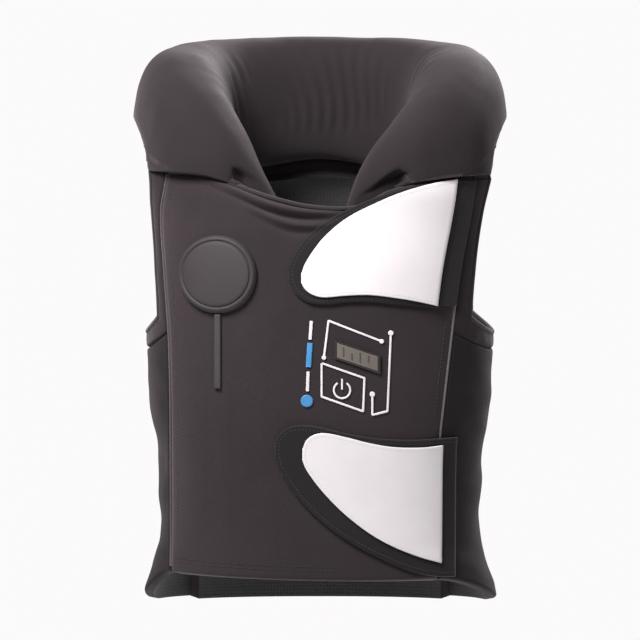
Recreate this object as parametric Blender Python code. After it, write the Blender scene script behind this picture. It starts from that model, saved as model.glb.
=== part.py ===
"""Racing airbag vest, worn form: padded front and back panels, side panels, shoulder yokes,
an inflated collar, armhole bands, two closing flaps with coated patches, a round valve cover
with its strip, and a small display window.

Metres, +Z up.  The wearer faces -Y, so +X is the wearer's left.  The origin is midway between
the undersides of the two shoulder yokes, where the vest sits on the shoulders.
"""
import math

import bmesh
import bpy
from mathutils import Vector

COLLECTION = "racing_airbag_vest"

# Body of the vest
CHEST_WIDTH = 0.320          # across the outer faces, just under the armholes
FRONT_DEPTH = 0.120          # from the arm line forward to the outer face of the chest
BACK_DEPTH = 0.138           # from the arm line back to the outer face of the back
BACK_LENGTH = 0.420          # from the shoulders down to the back hem
FRONT_LENGTH = 0.395         # from the shoulders down to the middle of the front hem
HEM_LIFT = 0.0045            # how much the front hem rises towards its ends
HEM_TILT = 0.0025            # and how much lower it is at its left end
HEM_TURN = 1.4               # how much faster a side hem drops to the back hem than evenly
FRONT_SQUARENESS = 2.6       # exponent of the rounded section in front, 2 is an ellipse
BACK_SQUARENESS = 2.3
FRONT_THICKNESS = 0.012
BACK_THICKNESS = 0.022
SIDE_THICKNESS = 0.009
SEAM_DIP = 0.003             # how far a padded panel thins towards its seams
SEAM_DIP_WIDTH = 0.022
SEAM_GAP = 0.0007            # running clearance between neighbouring panels
YOKE_GAP = 0.0013            # and between the yokes and what they join

# Shoulders
YOKE_THICKNESS = 0.016
YOKE_DIP = 0.5               # share of SEAM_DIP that a yoke thins towards its edges
YOKE_INNER = 0.082           # from the middle to the neck edge of a yoke
YOKE_OUTER = 0.172           # from the middle to the arm edge of a yoke, at the top
SHOULDER_DROP = 0.050        # how far below the origin the panels start to arch over
SHOULDER_ARCH = 2.2          # exponent of the arch over the shoulder
CORNER_DROP = 0.0225         # shoulders down to the front panel's upper corners
NECK_SCOOP = 0.033           # from those corners down to the lowest point of the neckline
BACK_CORNER_DROP = 0.0225
BACK_NECK_RISE = 0.010       # the back panel's middle stands this much above its corners

# Seams of the panels, as distances from the middle
FRONT_SEAM_RIGHT = 0.141
FRONT_SEAM_LEFT = 0.143
BACK_SEAM = 0.128

# Armholes
ARMHOLE_DEPTH = 0.168        # shoulders down to the underarm corners of the side panels
ARMHOLE_SAG = 0.018          # the underarm edge hangs this much lower in its middle
ARMHOLE_ROUND = 0.8          # exponent of the sag, under 1 is rounder at the corners
BAND_WIDTH = 0.017
BAND_THICKNESS = 0.012
ARMHOLE_HALF = 0.070         # half the width of an armhole, along the arm line
BAND_PROFILE = [
    # place across the band from its seam (0) to its free edge (1), rise of its outer face
    (0.00, -0.0018),
    (0.25, 0.0),
    (0.75, 0.0),
    (1.00, -0.0018),
]

# Collar, an inflated horseshoe around the neck
NECK_AXIS_BACK = 0.012       # the collar's axis lies this far behind the arm line
COLLAR_REACH = 0.127         # from that axis to the middle of the tube, at the sides
COLLAR_RISE = 0.091          # the tube's top above the origin, at the sides
COLLAR_HALF_WIDTH = 0.046    # half the tube's width, at the sides
COLLAR_SQUARENESS = 2.4
COLLAR_BACK_GAP = 0.0014     # clearance between its lower edge behind and the back panel
COLLAR_SEAT_GAP = 0.0022     # clearance under the tube, to what it lies on
COLLAR_LIP = 0.012           # least thickness of the tube where it thins out on its seat
COLLAR_LEAN = 1.2            # how far the tube leans forward for each metre above the neckline
COLLAR_FRONT_GAP = 0.0014    # clearance between its lower edge in front and the front panel
COLLAR_FLAP_GAP = 0.0044     # and the same above the upper flap
COLLAR_TUCK = 0.72           # the ends drop behind the front panel inside this share of
                             # YOKE_INNER
COLLAR_SPILL = 0.30          # and spill over its upper edge this share of YOKE_INNER past it
COLLAR_SPILL_DEPTH = 0.030   # how far forward they spill
COLLAR_FIRM = 0.90           # the tube's lip is whole outside this share of YOKE_INNER
COLLAR_WALL_GAP = 0.0042     # clearance behind the front panel

# Flaps and what lies on the chest
LAYER_GAP = 0.0008           # clearance between a layer and what it lies on
FLAP_THICKNESS = 0.0028
PATCH_THICKNESS = 0.0016
ANCHOR_WIDTH = 0.017
ANCHOR_THICKNESS = 0.0018
VALVE_RADIUS = 0.0355
VALVE_THICKNESS = 0.0065
VALVE_ACROSS = -0.093        # centre of the valve cover, from the middle
VALVE_DROP = 0.115           # and down from the shoulders
STRIP_WIDTH = 0.0075
STRIP_LENGTH = 0.068
STRIP_THICKNESS = 0.0022
DISPLAY_WIDTH = 0.042
DISPLAY_HEIGHT = 0.017
DISPLAY_SLANT = 0.34         # the display drops this much for each metre towards the wearer's left
DISPLAY_THICKNESS = 0.0015
DISPLAY_ACROSS = 0.034
DISPLAY_DROP = 0.190

# How finely the nets are divided
FRONT_COLUMNS = 20
BACK_COLUMNS = 14
SIDE_COLUMNS = 9
LOWER_ROWS = 10              # from the hem to the underarm, the same on all four panels
FRONT_UPPER_ROWS = 13        # from the underarm to the neckline
FRONT_CROWDING = 1.7         # how much closer those rows lie towards the neckline
BACK_UPPER_ROWS = 9
BACK_CROWDING = 1.6
YOKE_COLUMNS = 6
YOKE_ROWS = 12
COLLAR_STATIONS = 54
COLLAR_SIDES = 16
FLAP_COLUMNS = 15
FLAP_ROWS = 6
FLAP_CROWDING = 1.6          # how much closer a flap's columns lie towards its tip
ANCHOR_ROWS = 9
VALVE_SIDES = 24
VALVE_RINGS = [
    # radius as a share of VALVE_RADIUS, height as a share of VALVE_THICKNESS
    (0.35, 1.00),
    (0.70, 1.00),
    (0.90, 0.86),
    (1.00, 0.45),
]
STRIP_STEPS = (1, 6)         # columns and rows
DISPLAY_STEPS = (4, 2)
SEAT_STEPS = 24              # steps down to find what the collar lies on
SEAT_HALVINGS = 16           # and halvings of the last step
NORMAL_STEP = 0.0004         # step along a face to find its normal
SLIDE_STEP = 0.001           # and to find how long a move along it is

# Sections of the body: drop as a share of BACK_LENGTH, half-width as a share of half of
# CHEST_WIDTH, depths as shares of FRONT_DEPTH and BACK_DEPTH
BODY_SECTIONS = [
    # drop, width, front, back
    (-0.05, 1.22, 0.90, 0.92),
    (0.00, 1.18, 0.91, 0.94),
    (0.055, 1.10, 0.92, 0.96),
    (0.14, 1.02, 0.95, 0.98),
    (0.28, 1.00, 1.00, 1.00),
    (0.42, 1.00, 1.01, 0.99),
    (0.535, 0.99, 1.00, 0.95),
    (0.643, 0.95, 0.97, 0.91),
    (0.764, 0.925, 0.94, 0.88),
    (0.864, 0.925, 0.935, 0.89),
    (0.921, 0.97, 0.945, 0.92),
    (0.964, 1.01, 0.955, 0.95),
    (1.05, 1.05, 0.97, 1.00),
]

# Neckline of the front panel: place across from the right seam (0) to the left seam (1),
# drop as a share of NECK_SCOOP
NECKLINE = [
    (0.00, 0.00),
    (0.10, 0.04),
    (0.21, 0.32),
    (0.33, 0.68),
    (0.44, 0.92),
    (0.53, 1.00),
    (0.61, 0.98),
    (0.66, 0.84),
    (0.72, 0.56),
    (0.83, 0.36),
    (1.00, 0.20),
]

# Side seams of the front panel: drop as a share of BACK_LENGTH, distance from the middle as a
# share of FRONT_SEAM_RIGHT and of FRONT_SEAM_LEFT
SEAM_LINE = [
    # drop, right, left
    (0.00, 1.00, 1.01),
    (0.06, 1.00, 1.00),
    (0.14, 1.04, 0.965),
    (0.27, 1.02, 0.895),
    (0.41, 0.99, 0.845),
    (0.54, 0.98, 0.80),
    (0.64, 0.98, 0.77),
    (0.80, 0.98, 0.762),
    (1.00, 0.98, 0.762),
]

# Swag folds that follow the neckline: where a ridge or valley starts and ends across, as shares
# of FRONT_SEAM_RIGHT, how far it lies below the neckline at its start, middle and end, as shares
# of NECK_SCOOP, its height as a share of FOLD_HEIGHT and its width as a share of FOLD_WIDTH
FOLD_HEIGHT = 0.0026
FOLD_WIDTH = 0.0042
FOLD_FADE = 0.7              # exponent of the fade to both ends, under 1 is steeper
FOLDS = [
    # start, end, below start, middle, end, height, width
    (-0.80, 0.16, 0.06, 0.17, 0.08, 1.00, 1.00),
    (-0.72, 0.12, 0.26, 0.38, 0.26, -0.90, 0.90),
    (-0.52, 0.08, 0.44, 0.56, 0.44, 0.85, 1.00),
    (-0.44, 0.02, 0.64, 0.76, 0.66, -0.60, 1.20),
]

# Stations along the collar, from the wearer's right end round the back to the left end:
# degrees from the back, reach as a share of COLLAR_REACH, middle and top of the tube as
# shares of COLLAR_RISE, half-width as a share of COLLAR_HALF_WIDTH
COLLAR_TABLE = [
    # azimuth, reach, middle, top, width
    (-163.0, 0.84, -0.86, -0.68, 0.13),
    (-152.0, 0.88, -0.60, -0.26, 0.28),
    (-140.0, 0.96, -0.30, 0.20, 0.64),
    (-125.0, 1.02, -0.17, 0.60, 0.92),
    (-108.0, 1.01, 0.04, 0.88, 1.00),
    (-90.0, 1.00, 0.18, 1.00, 1.00),
    (-60.0, 0.96, 0.20, 1.07, 0.95),
    (-30.0, 0.84, 0.24, 1.11, 0.82),
    (0.0, 0.78, 0.26, 1.12, 0.76),
    (30.0, 0.84, 0.24, 1.11, 0.82),
    (60.0, 0.96, 0.20, 1.07, 0.95),
    (90.0, 1.00, 0.18, 1.00, 1.00),
    (108.0, 1.01, 0.04, 0.88, 1.00),
    (125.0, 1.02, -0.16, 0.64, 0.92),
    (140.0, 0.96, -0.26, 0.36, 0.66),
    (152.0, 0.87, -0.46, 0.04, 0.36),
    (161.0, 0.83, -0.62, -0.28, 0.22),
    (168.0, 0.83, -0.84, -0.66, 0.13),
]

# Flap outlines: place across as a share from the tip (0) to the root (1), upper and lower
# edges as drops below the shoulders, as shares of BACK_LENGTH
UPPER_FLAP_TIP = -0.029
UPPER_FLAP = [
    # across, upper, lower
    (0.000, 0.262, 0.286),
    (0.020, 0.245, 0.302),
    (0.065, 0.217, 0.320),
    (0.140, 0.185, 0.335),
    (0.250, 0.155, 0.339),
    (0.400, 0.126, 0.334),
    (0.550, 0.104, 0.334),
    (0.750, 0.083, 0.340),
    (1.000, 0.070, 0.347),
]
UPPER_PATCH_TIP = -0.017
UPPER_PATCH = [
    # across, upper, lower
    (0.000, 0.272, 0.292),
    (0.025, 0.252, 0.305),
    (0.080, 0.224, 0.317),
    (0.160, 0.192, 0.323),
    (0.300, 0.153, 0.320),
    (0.480, 0.121, 0.318),
    (0.650, 0.098, 0.323),
    (0.850, 0.079, 0.333),
    (1.000, 0.070, 0.343),
]
LOWER_FLAP_TIP = -0.041
LOWER_FLAP_OVERLAP = 0.014   # the lower flap's root runs this far past the front panel's seam
LOWER_FLAP = [
    # across, upper, lower
    (0.000, 0.638, 0.672),
    (0.020, 0.623, 0.694),
    (0.065, 0.607, 0.725),
    (0.130, 0.601, 0.760),
    (0.230, 0.604, 0.802),
    (0.380, 0.618, 0.848),
    (0.560, 0.630, 0.888),
    (0.760, 0.634, 0.922),
    (0.900, 0.632, 0.934),
    (1.000, 0.630, 0.936),
]
LOWER_PATCH_TIP = -0.016
LOWER_PATCH = [
    # across, upper, lower
    (0.000, 0.652, 0.676),
    (0.025, 0.634, 0.695),
    (0.080, 0.621, 0.720),
    (0.160, 0.617, 0.750),
    (0.300, 0.625, 0.793),
    (0.480, 0.639, 0.836),
    (0.650, 0.648, 0.866),
    (0.850, 0.650, 0.892),
    (1.000, 0.646, 0.906),
]

COLOURS = {
    # name: colour, roughness
    "stretch_fabric": ((0.045, 0.040, 0.042, 1.0), 0.85),
    "side_fabric": ((0.018, 0.016, 0.018, 1.0), 0.90),
    "collar_fabric": ((0.040, 0.034, 0.036, 1.0), 0.82),
    "flap_fabric": ((0.014, 0.013, 0.014, 1.0), 0.88),
    "anchor_fabric": ((0.050, 0.048, 0.048, 1.0), 0.80),
    "coated_patch": ((0.86, 0.86, 0.87, 1.0), 0.40),
    "valve_rubber": ((0.036, 0.033, 0.035, 1.0), 0.70),
    "display_plastic": ((0.20, 0.18, 0.17, 1.0), 0.30),
}

HEART = Vector((0.0, 0.0, -SHOULDER_DROP))
TOP = YOKE_THICKNESS


def clear_scene():
    for obj in list(bpy.data.objects):
        bpy.data.objects.remove(obj)


def material(name):
    colour, roughness = COLOURS[name]
    made = bpy.data.materials.new(name)
    made.use_nodes = True
    shader = made.node_tree.nodes["Principled BSDF"]
    shader.inputs["Base Color"].default_value = colour
    shader.inputs["Roughness"].default_value = roughness
    shader.inputs["Metallic"].default_value = 0.0
    return made


def smooth(value):
    """0 below 0, 1 above 1, and an even ramp between."""
    value = min(max(value, 0.0), 1.0)
    return value * value * (3.0 - 2.0 * value)


def mix(start, end, share):
    return start + (end - start) * share


def read_table(rows, key):
    """The other columns of a table at a key of its first column, on one smooth curve."""
    key = min(max(key, rows[0][0]), rows[-1][0])
    at = 0
    while at < len(rows) - 2 and key > rows[at + 1][0]:
        at += 1
    low = rows[at]
    high = rows[at + 1]
    before = rows[max(at - 1, 0)]
    after = rows[min(at + 2, len(rows) - 1)]
    span = high[0] - low[0]
    t = (key - low[0]) / span
    values = []
    for column in range(1, len(low)):
        slope_low = (high[column] - before[column]) / (high[0] - before[0]) * span
        slope_high = (after[column] - low[column]) / (after[0] - low[0]) * span
        values.append(
            (2 * t ** 3 - 3 * t ** 2 + 1) * low[column]
            + (t ** 3 - 2 * t ** 2 + t) * slope_low
            + (3 * t ** 2 - 2 * t ** 3) * high[column]
            + (t ** 3 - t ** 2) * slope_high
        )
    return values


def body_section(z):
    """Half-width, front depth and back depth of the body at a height, without the arch."""
    width, front, back = read_table(BODY_SECTIONS, -z / BACK_LENGTH)
    return width * CHEST_WIDTH / 2, front * FRONT_DEPTH, back * BACK_DEPTH


def arch_share(z):
    """How much of the body's depth is left at a height, where it arches over the shoulder."""
    rise = (z + SHOULDER_DROP) / (TOP + SHOULDER_DROP)
    if rise <= 0.0:
        return 1.0
    return (1.0 - min(rise, 1.0) ** SHOULDER_ARCH) ** (1.0 / SHOULDER_ARCH)


def round_share(x, half_width, squareness):
    """How much of the depth is left at a distance from the middle."""
    return (1.0 - min(abs(x) / half_width, 1.0) ** squareness) ** (1.0 / squareness)


def front_face(x, z):
    half_width, front, _ = body_section(z)
    depth = front * arch_share(z) * round_share(x, half_width, FRONT_SQUARENESS)
    return Vector((x, -depth, z))


def back_face(x, z):
    half_width, _, back = body_section(z)
    depth = back * arch_share(z) * round_share(x, half_width, BACK_SQUARENESS)
    return Vector((x, depth, z))


def side_angle(x, z, squareness):
    """The angle from the arm line at which the body's section is x from the middle."""
    half_width = body_section(z)[0]
    share = min(abs(x) / half_width, 1.0)
    return math.acos(share ** (squareness / 2.0))


def side_face(side):
    """The body's face by angle from the arm line, minus in front, and height."""
    def place(angle, z):
        half_width, front, back = body_section(z)
        depth = -front if angle < 0 else back
        squareness = FRONT_SQUARENESS if angle < 0 else BACK_SQUARENESS
        across = half_width * math.cos(angle) ** (2.0 / squareness)
        along = depth * arch_share(z) * abs(math.sin(angle)) ** (2.0 / squareness)
        return Vector((side * across, along, z))
    return place


def arch_angle(z):
    """The angle along the shoulder arch at a height, 0 where the arch starts."""
    rise = min(max((z + SHOULDER_DROP) / (TOP + SHOULDER_DROP), 0.0), 1.0)
    return math.asin(rise ** (SHOULDER_ARCH / 2.0))


def arch_face(x, turn):
    """The shoulder arch: turn goes from 0 in front over the top to pi at the back."""
    z = -SHOULDER_DROP + (TOP + SHOULDER_DROP) * math.sin(turn) ** (2.0 / SHOULDER_ARCH)
    half_width, front, back = body_section(z)
    share = abs(math.cos(turn)) ** (2.0 / SHOULDER_ARCH)
    if turn < math.pi / 2:
        depth = -front * round_share(x, half_width, FRONT_SQUARENESS)
    else:
        depth = back * round_share(x, half_width, BACK_SQUARENESS)
    return Vector((x, depth * share, z))


def outward(place, u, v):
    """The unit normal of a face at a place on it, pointing away from the body's middle."""
    along_u = place(u + NORMAL_STEP, v) - place(u - NORMAL_STEP, v)
    along_v = place(u, v + NORMAL_STEP) - place(u, v - NORMAL_STEP)
    normal = along_u.cross(along_v).normalized()
    if normal.dot(place(u, v) - HEART) < 0:
        normal.negate()
    return normal


def pair(place, u, v, raised, thickness):
    """The outer and the inner point of a wall, the outer one raised off the face."""
    point = place(u, v)
    normal = outward(place, u, v)
    return point + normal * raised, point - normal * thickness


def link(name, mesh, finish):
    obj = bpy.data.objects.new(name, mesh)
    obj.data.materials.append(finish)
    bpy.data.collections[COLLECTION].objects.link(obj)
    return obj


def mesh_from(name, points, faces, finish, angle=50.0):
    mesh = bpy.data.meshes.new(name)
    mesh.from_pydata([tuple(point) for point in points], [], faces)
    shape = bmesh.new()
    shape.from_mesh(mesh)
    bmesh.ops.recalc_face_normals(shape, faces=shape.faces)
    shape.to_mesh(mesh)
    shape.free()
    mesh.shade_smooth()
    mesh.set_sharp_from_angle(angle=math.radians(angle))
    return link(name, mesh, finish)


def padded_net(name, net, finish):
    """A closed wall from a net of outer and inner points, with a rim round its edge."""
    rows = len(net)
    columns = len(net[0])
    outer = [both[0] for row in net for both in row]
    inner = [both[1] for row in net for both in row]
    count = rows * columns
    faces = []
    for i in range(rows - 1):
        for j in range(columns - 1):
            a = i * columns + j
            b = a + 1
            c = b + columns
            d = a + columns
            faces.append((a, b, c, d))
            faces.append((d + count, c + count, b + count, a + count))
    edge = [(0, j) for j in range(columns)]
    edge += [(i, columns - 1) for i in range(1, rows)]
    edge += [(rows - 1, j) for j in range(columns - 2, -1, -1)]
    edge += [(i, 0) for i in range(rows - 2, 0, -1)]
    for k, (i, j) in enumerate(edge):
        m, n = edge[(k + 1) % len(edge)]
        a = i * columns + j
        b = m * columns + n
        faces.append((b, a, a + count, b + count))
    return mesh_from(name, outer + inner, faces, finish)


def seam_dip(*distances):
    """How far a padded panel thins at a place, given its distances from the panel's edges."""
    return SEAM_DIP * (1.0 - smooth(min(distances) / SEAM_DIP_WIDTH))


# Edges that neighbouring panels share

def front_seam(side, z):
    """Where the front panel ends at a height, minus on the wearer's right."""
    right, left = read_table(SEAM_LINE, -z / BACK_LENGTH)
    if side < 0:
        return -right * FRONT_SEAM_RIGHT
    return left * FRONT_SEAM_LEFT


def front_corner(side):
    drop = CORNER_DROP
    if side > 0:
        drop += NECKLINE[-1][1] * NECK_SCOOP
    return front_seam(side, -drop), -drop


def neckline(x):
    """Height of the front panel's upper edge at a distance from the middle."""
    right = front_corner(-1)[0]
    left = front_corner(1)[0]
    share = (x - right) / (left - right)
    return -CORNER_DROP - NECK_SCOOP * read_table(NECKLINE, share)[0]


def front_hem(x):
    """Height of the front panel's hem, which hangs lower in the middle and to the left."""
    lift = (x / FRONT_SEAM_RIGHT) ** 2
    tilt = x / FRONT_SEAM_LEFT
    return -FRONT_LENGTH + HEM_LIFT * lift - HEM_TILT * tilt


def side_hem(side, share):
    """The hem under the arm, from the front seam (0) to the back seam (1)."""
    front = front_hem(front_seam(side, -FRONT_LENGTH))
    return mix(front, -BACK_LENGTH, smooth(share * HEM_TURN))


def underarm(share):
    """The upper edge of a side panel, from the front seam (0) to the back seam (1)."""
    return -ARMHOLE_DEPTH - ARMHOLE_SAG * math.sin(math.pi * share) ** ARMHOLE_ROUND


def back_top(x):
    rise = 1.0 - smooth(abs(x) / YOKE_INNER)
    return -BACK_CORNER_DROP + BACK_NECK_RISE * rise


def slide(place, u, v, distance):
    """The change in u that moves a place this far along its face."""
    length = (place(u + SLIDE_STEP, v) - place(u - SLIDE_STEP, v)).length
    return distance * 2 * SLIDE_STEP / length


# The padded panels

def swag(x, z):
    """Height of the folds under the neckline."""
    total = 0.0
    for start, end, first, middle, last, height, width in FOLDS:
        share = (x / FRONT_SEAM_RIGHT - start) / (end - start)
        if not 0.0 < share < 1.0:
            continue
        half = mix(first, middle, smooth(share * 2))
        if share > 0.5:
            half = mix(middle, last, smooth(share * 2 - 1))
        away = (neckline(x) - half * NECK_SCOOP - z) / (width * FOLD_WIDTH)
        fade = math.sin(math.pi * share) ** FOLD_FADE
        total += height * FOLD_HEIGHT * math.exp(-away * away) * fade
    return total


def panel_height(hem, top, i, upper_rows, crowding):
    """Height of a row: the lower rows reach the underarm, the others go on to the top."""
    if i <= LOWER_ROWS:
        return mix(hem, -ARMHOLE_DEPTH, i / LOWER_ROWS)
    return mix(-ARMHOLE_DEPTH, top, 1.0 - (1.0 - (i - LOWER_ROWS) / upper_rows) ** crowding)


def front_panel(finish):
    net = []
    right = front_corner(-1)[0]
    left = front_corner(1)[0]
    for i in range(LOWER_ROWS + FRONT_UPPER_ROWS + 1):
        row = []
        for j in range(FRONT_COLUMNS + 1):
            across = j / FRONT_COLUMNS
            x_top = mix(right, left, across)
            x_hem = mix(front_seam(-1, -FRONT_LENGTH), front_seam(1, -FRONT_LENGTH), across)
            top = neckline(x_top)
            hem = front_hem(x_hem)
            z = panel_height(hem, top, i, FRONT_UPPER_ROWS, FRONT_CROWDING)
            x = mix(front_seam(-1, z), front_seam(1, z), across)
            dip = seam_dip(across * CHEST_WIDTH, (1.0 - across) * CHEST_WIDTH, z - hem, top - z)
            row.append(pair(front_face, x, z, swag(x, z) - dip, FRONT_THICKNESS))
        net.append(row)
    padded_net("front_panel", net, finish)


def back_panel(finish):
    net = []
    for i in range(LOWER_ROWS + BACK_UPPER_ROWS + 1):
        row = []
        for j in range(BACK_COLUMNS + 1):
            x = mix(-BACK_SEAM, BACK_SEAM, j / BACK_COLUMNS)
            top = back_top(x)
            z = panel_height(-BACK_LENGTH, top, i, BACK_UPPER_ROWS, BACK_CROWDING)
            dip = seam_dip(BACK_SEAM - x, BACK_SEAM + x, z + BACK_LENGTH, top - z)
            row.append(pair(back_face, x, z, -dip, BACK_THICKNESS))
        net.append(row)
    padded_net("back_panel", net, finish)


def side_angles(side, z):
    """The angles of a side panel's two seams at a height, clear of the panels beside it."""
    place = side_face(side)
    first = -side_angle(front_seam(side, z), z, FRONT_SQUARENESS)
    last = side_angle(BACK_SEAM, z, BACK_SQUARENESS)
    first += slide(place, first, z, SEAM_GAP)
    last -= slide(place, last, z, SEAM_GAP)
    return first, last


def side_panel(name, side, finish):
    place = side_face(side)
    net = []
    for i in range(LOWER_ROWS + 1):
        row = []
        for j in range(SIDE_COLUMNS + 1):
            across = j / SIDE_COLUMNS
            hem = side_hem(side, across)
            top = underarm(across)
            z = mix(hem, top, i / LOWER_ROWS)
            first, last = side_angles(side, z)
            width = 2 * ARMHOLE_HALF
            dip = seam_dip(across * width, (1.0 - across) * width, z - hem, top - z)
            row.append(pair(place, mix(first, last, across), z, -dip, SIDE_THICKNESS))
        net.append(row)
    padded_net(name, net, finish)


def band_path(side):
    """The band's outer edge as angles and heights: down the front, under the arm, up the back."""
    place = side_face(side)
    path = []
    for i in range(FRONT_UPPER_ROWS, 0, -1):
        z = panel_height(0.0, front_corner(side)[1], LOWER_ROWS + i, FRONT_UPPER_ROWS,
                         FRONT_CROWDING)
        angle = -side_angle(front_seam(side, z), z, FRONT_SQUARENESS)
        path.append((angle + slide(place, angle, z, SEAM_GAP), z))
    for j in range(SIDE_COLUMNS + 1):
        across = j / SIDE_COLUMNS
        z = underarm(across)
        first, last = side_angles(side, z)
        path.append((mix(first, last, across), z + SEAM_GAP))
    for i in range(1, BACK_UPPER_ROWS + 1):
        z = panel_height(0.0, -BACK_CORNER_DROP, LOWER_ROWS + i, BACK_UPPER_ROWS, BACK_CROWDING)
        angle = side_angle(BACK_SEAM, z, BACK_SQUARENESS)
        path.append((angle - slide(place, angle, z, SEAM_GAP), z))
    return path


def band_free_edge(side, angle, z, top):
    """The place on the armhole's free edge across the band from a place on its outer edge."""
    narrow = 1.0 - BAND_WIDTH / ARMHOLE_HALF
    shallow = 1.0 - BAND_WIDTH / (ARMHOLE_DEPTH + ARMHOLE_SAG)
    return angle * narrow, top + (z - top) * shallow


def armhole_band(name, side, finish):
    place = side_face(side)
    path = band_path(side)
    front_top = path[0][1]
    rear_top = path[-1][1]
    net = []
    for k, (angle, z) in enumerate(path):
        share = k / (len(path) - 1)
        top = mix(front_top, rear_top, smooth(share))
        end_angle, end_z = band_free_edge(side, angle, z, top)
        row = []
        for across, raised in BAND_PROFILE:
            at = mix(angle, end_angle, across)
            height = mix(z, end_z, across)
            row.append(pair(place, at, height, raised, BAND_THICKNESS))
        net.append(row)
    padded_net(name, net, finish)


def yoke_outer(side, share):
    """The yoke's arm edge from its front end (0) over the top (0.5) to its back end (1)."""
    path = band_path(side)
    place = side_face(side)
    front = place(*band_free_edge(side, path[0][0], path[0][1], path[0][1])).x
    back = place(*band_free_edge(side, path[-1][0], path[-1][1], path[-1][1])).x
    if share < 0.5:
        return mix(abs(front), YOKE_OUTER, smooth(share * 2))
    return mix(YOKE_OUTER, abs(back), smooth(share * 2 - 1))


def yoke(name, side, finish):
    corner_x, corner_z = front_corner(side)
    net = []
    for i in range(YOKE_ROWS + 1):
        share = i / YOKE_ROWS
        outer_x = yoke_outer(side, share)
        row = []
        for j in range(YOKE_COLUMNS + 1):
            across = j / YOKE_COLUMNS
            x = side * mix(YOKE_INNER, outer_x, across)
            inside_corner = abs(x) < abs(corner_x)
            front_z = neckline(x) if inside_corner else corner_z
            start = arch_angle(front_z + YOKE_GAP)
            back_z = back_top(min(abs(x), BACK_SEAM))
            end = math.pi - arch_angle(back_z + YOKE_GAP)
            turn = mix(start, end, share)
            length = 2 * ARMHOLE_HALF
            dip = seam_dip(abs(x) - YOKE_INNER, outer_x - abs(x), share * length,
                           (1.0 - share) * length)
            row.append(pair(arch_face, x, turn, -dip * YOKE_DIP, YOKE_THICKNESS))
        net.append(row)
    padded_net(name, net, finish)


# Collar

def seat_height(x, y):
    """Height of the body's outer face under a point, or None where it doesn't reach."""
    face = back_face if y > 0 else front_face
    above = TOP
    below = None
    for i in range(1, SEAT_STEPS + 1):
        z = mix(TOP, -ARMHOLE_DEPTH / 2, (i / SEAT_STEPS) ** 2)
        if abs(face(x, z).y) >= abs(y):
            below = z
            break
        above = z
    if below is None:
        return None
    for _ in range(SEAT_HALVINGS):
        middle = (below + above) / 2
        if abs(face(x, middle).y) >= abs(y):
            below = middle
        else:
            above = middle
    return below


def clear_of_body(x, y, z, upper):
    """A collar point moved off what it lies on or behind; upper is 0 on the tube's underside."""
    firm = 1.0
    if y < 0:
        wall = front_face(x, min(z, -SHOULDER_DROP)).y + FRONT_THICKNESS + COLLAR_WALL_GAP
        above = max(z - neckline(x) - FRONT_THICKNESS, 0.0)
        past = smooth((abs(x) / YOKE_INNER - 1.0) / COLLAR_SPILL)
        y = max(y, wall - COLLAR_LEAN * above - past * COLLAR_SPILL_DEPTH)
        firm = smooth((abs(x) / YOKE_INNER - COLLAR_TUCK) / (COLLAR_FIRM - COLLAR_TUCK))
    lip = COLLAR_LIP * upper
    if y < 0:
        floor = neckline(x) + (COLLAR_FRONT_GAP if x < 0 else COLLAR_FLAP_GAP)
    else:
        floor = back_top(x) + COLLAR_BACK_GAP
    seat = seat_height(x, y)
    if seat is not None and (y < 0 or abs(x) > YOKE_INNER * COLLAR_TUCK):
        floor = max(floor, seat + COLLAR_SEAT_GAP)
    return Vector((x, y, mix(z, max(z, floor + lip), firm)))


def arched(points, a, b, c, d):
    """A quad as two triangles, folded on the diagonal that lies higher, clear of the yokes."""
    if (points[a] + points[c]).z >= (points[b] + points[d]).z:
        return [(a, b, c), (a, c, d)]
    return [(a, b, d), (b, c, d)]


def collar(finish):
    sections = []
    first = COLLAR_TABLE[0][0]
    last = COLLAR_TABLE[-1][0]
    for i in range(COLLAR_STATIONS + 1):
        azimuth = mix(first, last, i / COLLAR_STATIONS)
        reach, middle, top, width = read_table(COLLAR_TABLE, azimuth)
        turn = math.radians(azimuth)
        half_height = (top - middle) * COLLAR_RISE
        section = []
        for k in range(COLLAR_SIDES):
            around = 2 * math.pi * k / COLLAR_SIDES
            c = math.cos(around)
            s = math.sin(around)
            power = 2.0 / COLLAR_SQUARENESS
            out = math.copysign(abs(c) ** power, c) * width * COLLAR_HALF_WIDTH
            up = math.copysign(abs(s) ** power, s) * half_height
            radius = reach * COLLAR_REACH + out
            x = radius * math.sin(turn)
            y = NECK_AXIS_BACK + radius * math.cos(turn)
            section.append(clear_of_body(x, y, middle * COLLAR_RISE + up, max(s, 0.0)))
        sections.append(section)
    points = [point for section in sections for point in section]
    faces = []
    for i in range(len(sections) - 1):
        for k in range(COLLAR_SIDES):
            a = i * COLLAR_SIDES + k
            b = i * COLLAR_SIDES + (k + 1) % COLLAR_SIDES
            faces += arched(points, a, b, b + COLLAR_SIDES, a + COLLAR_SIDES)
    for i, ordered in ((0, True), (len(sections) - 1, False)):
        middle = sum(sections[i], Vector()) / COLLAR_SIDES
        points.append(middle)
        for k in range(COLLAR_SIDES):
            a = i * COLLAR_SIDES + k
            b = i * COLLAR_SIDES + (k + 1) % COLLAR_SIDES
            faces.append((len(points) - 1, b, a) if ordered else (len(points) - 1, a, b))
    mesh_from("collar", points, faces, finish)


# Layers on the chest

def chest(lift):
    """The chest's face with its folds, raised by a distance."""
    def place(x, z):
        return front_face(x, z) + outward(front_face, x, z) * (swag(x, z) + lift)
    return place


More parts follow.
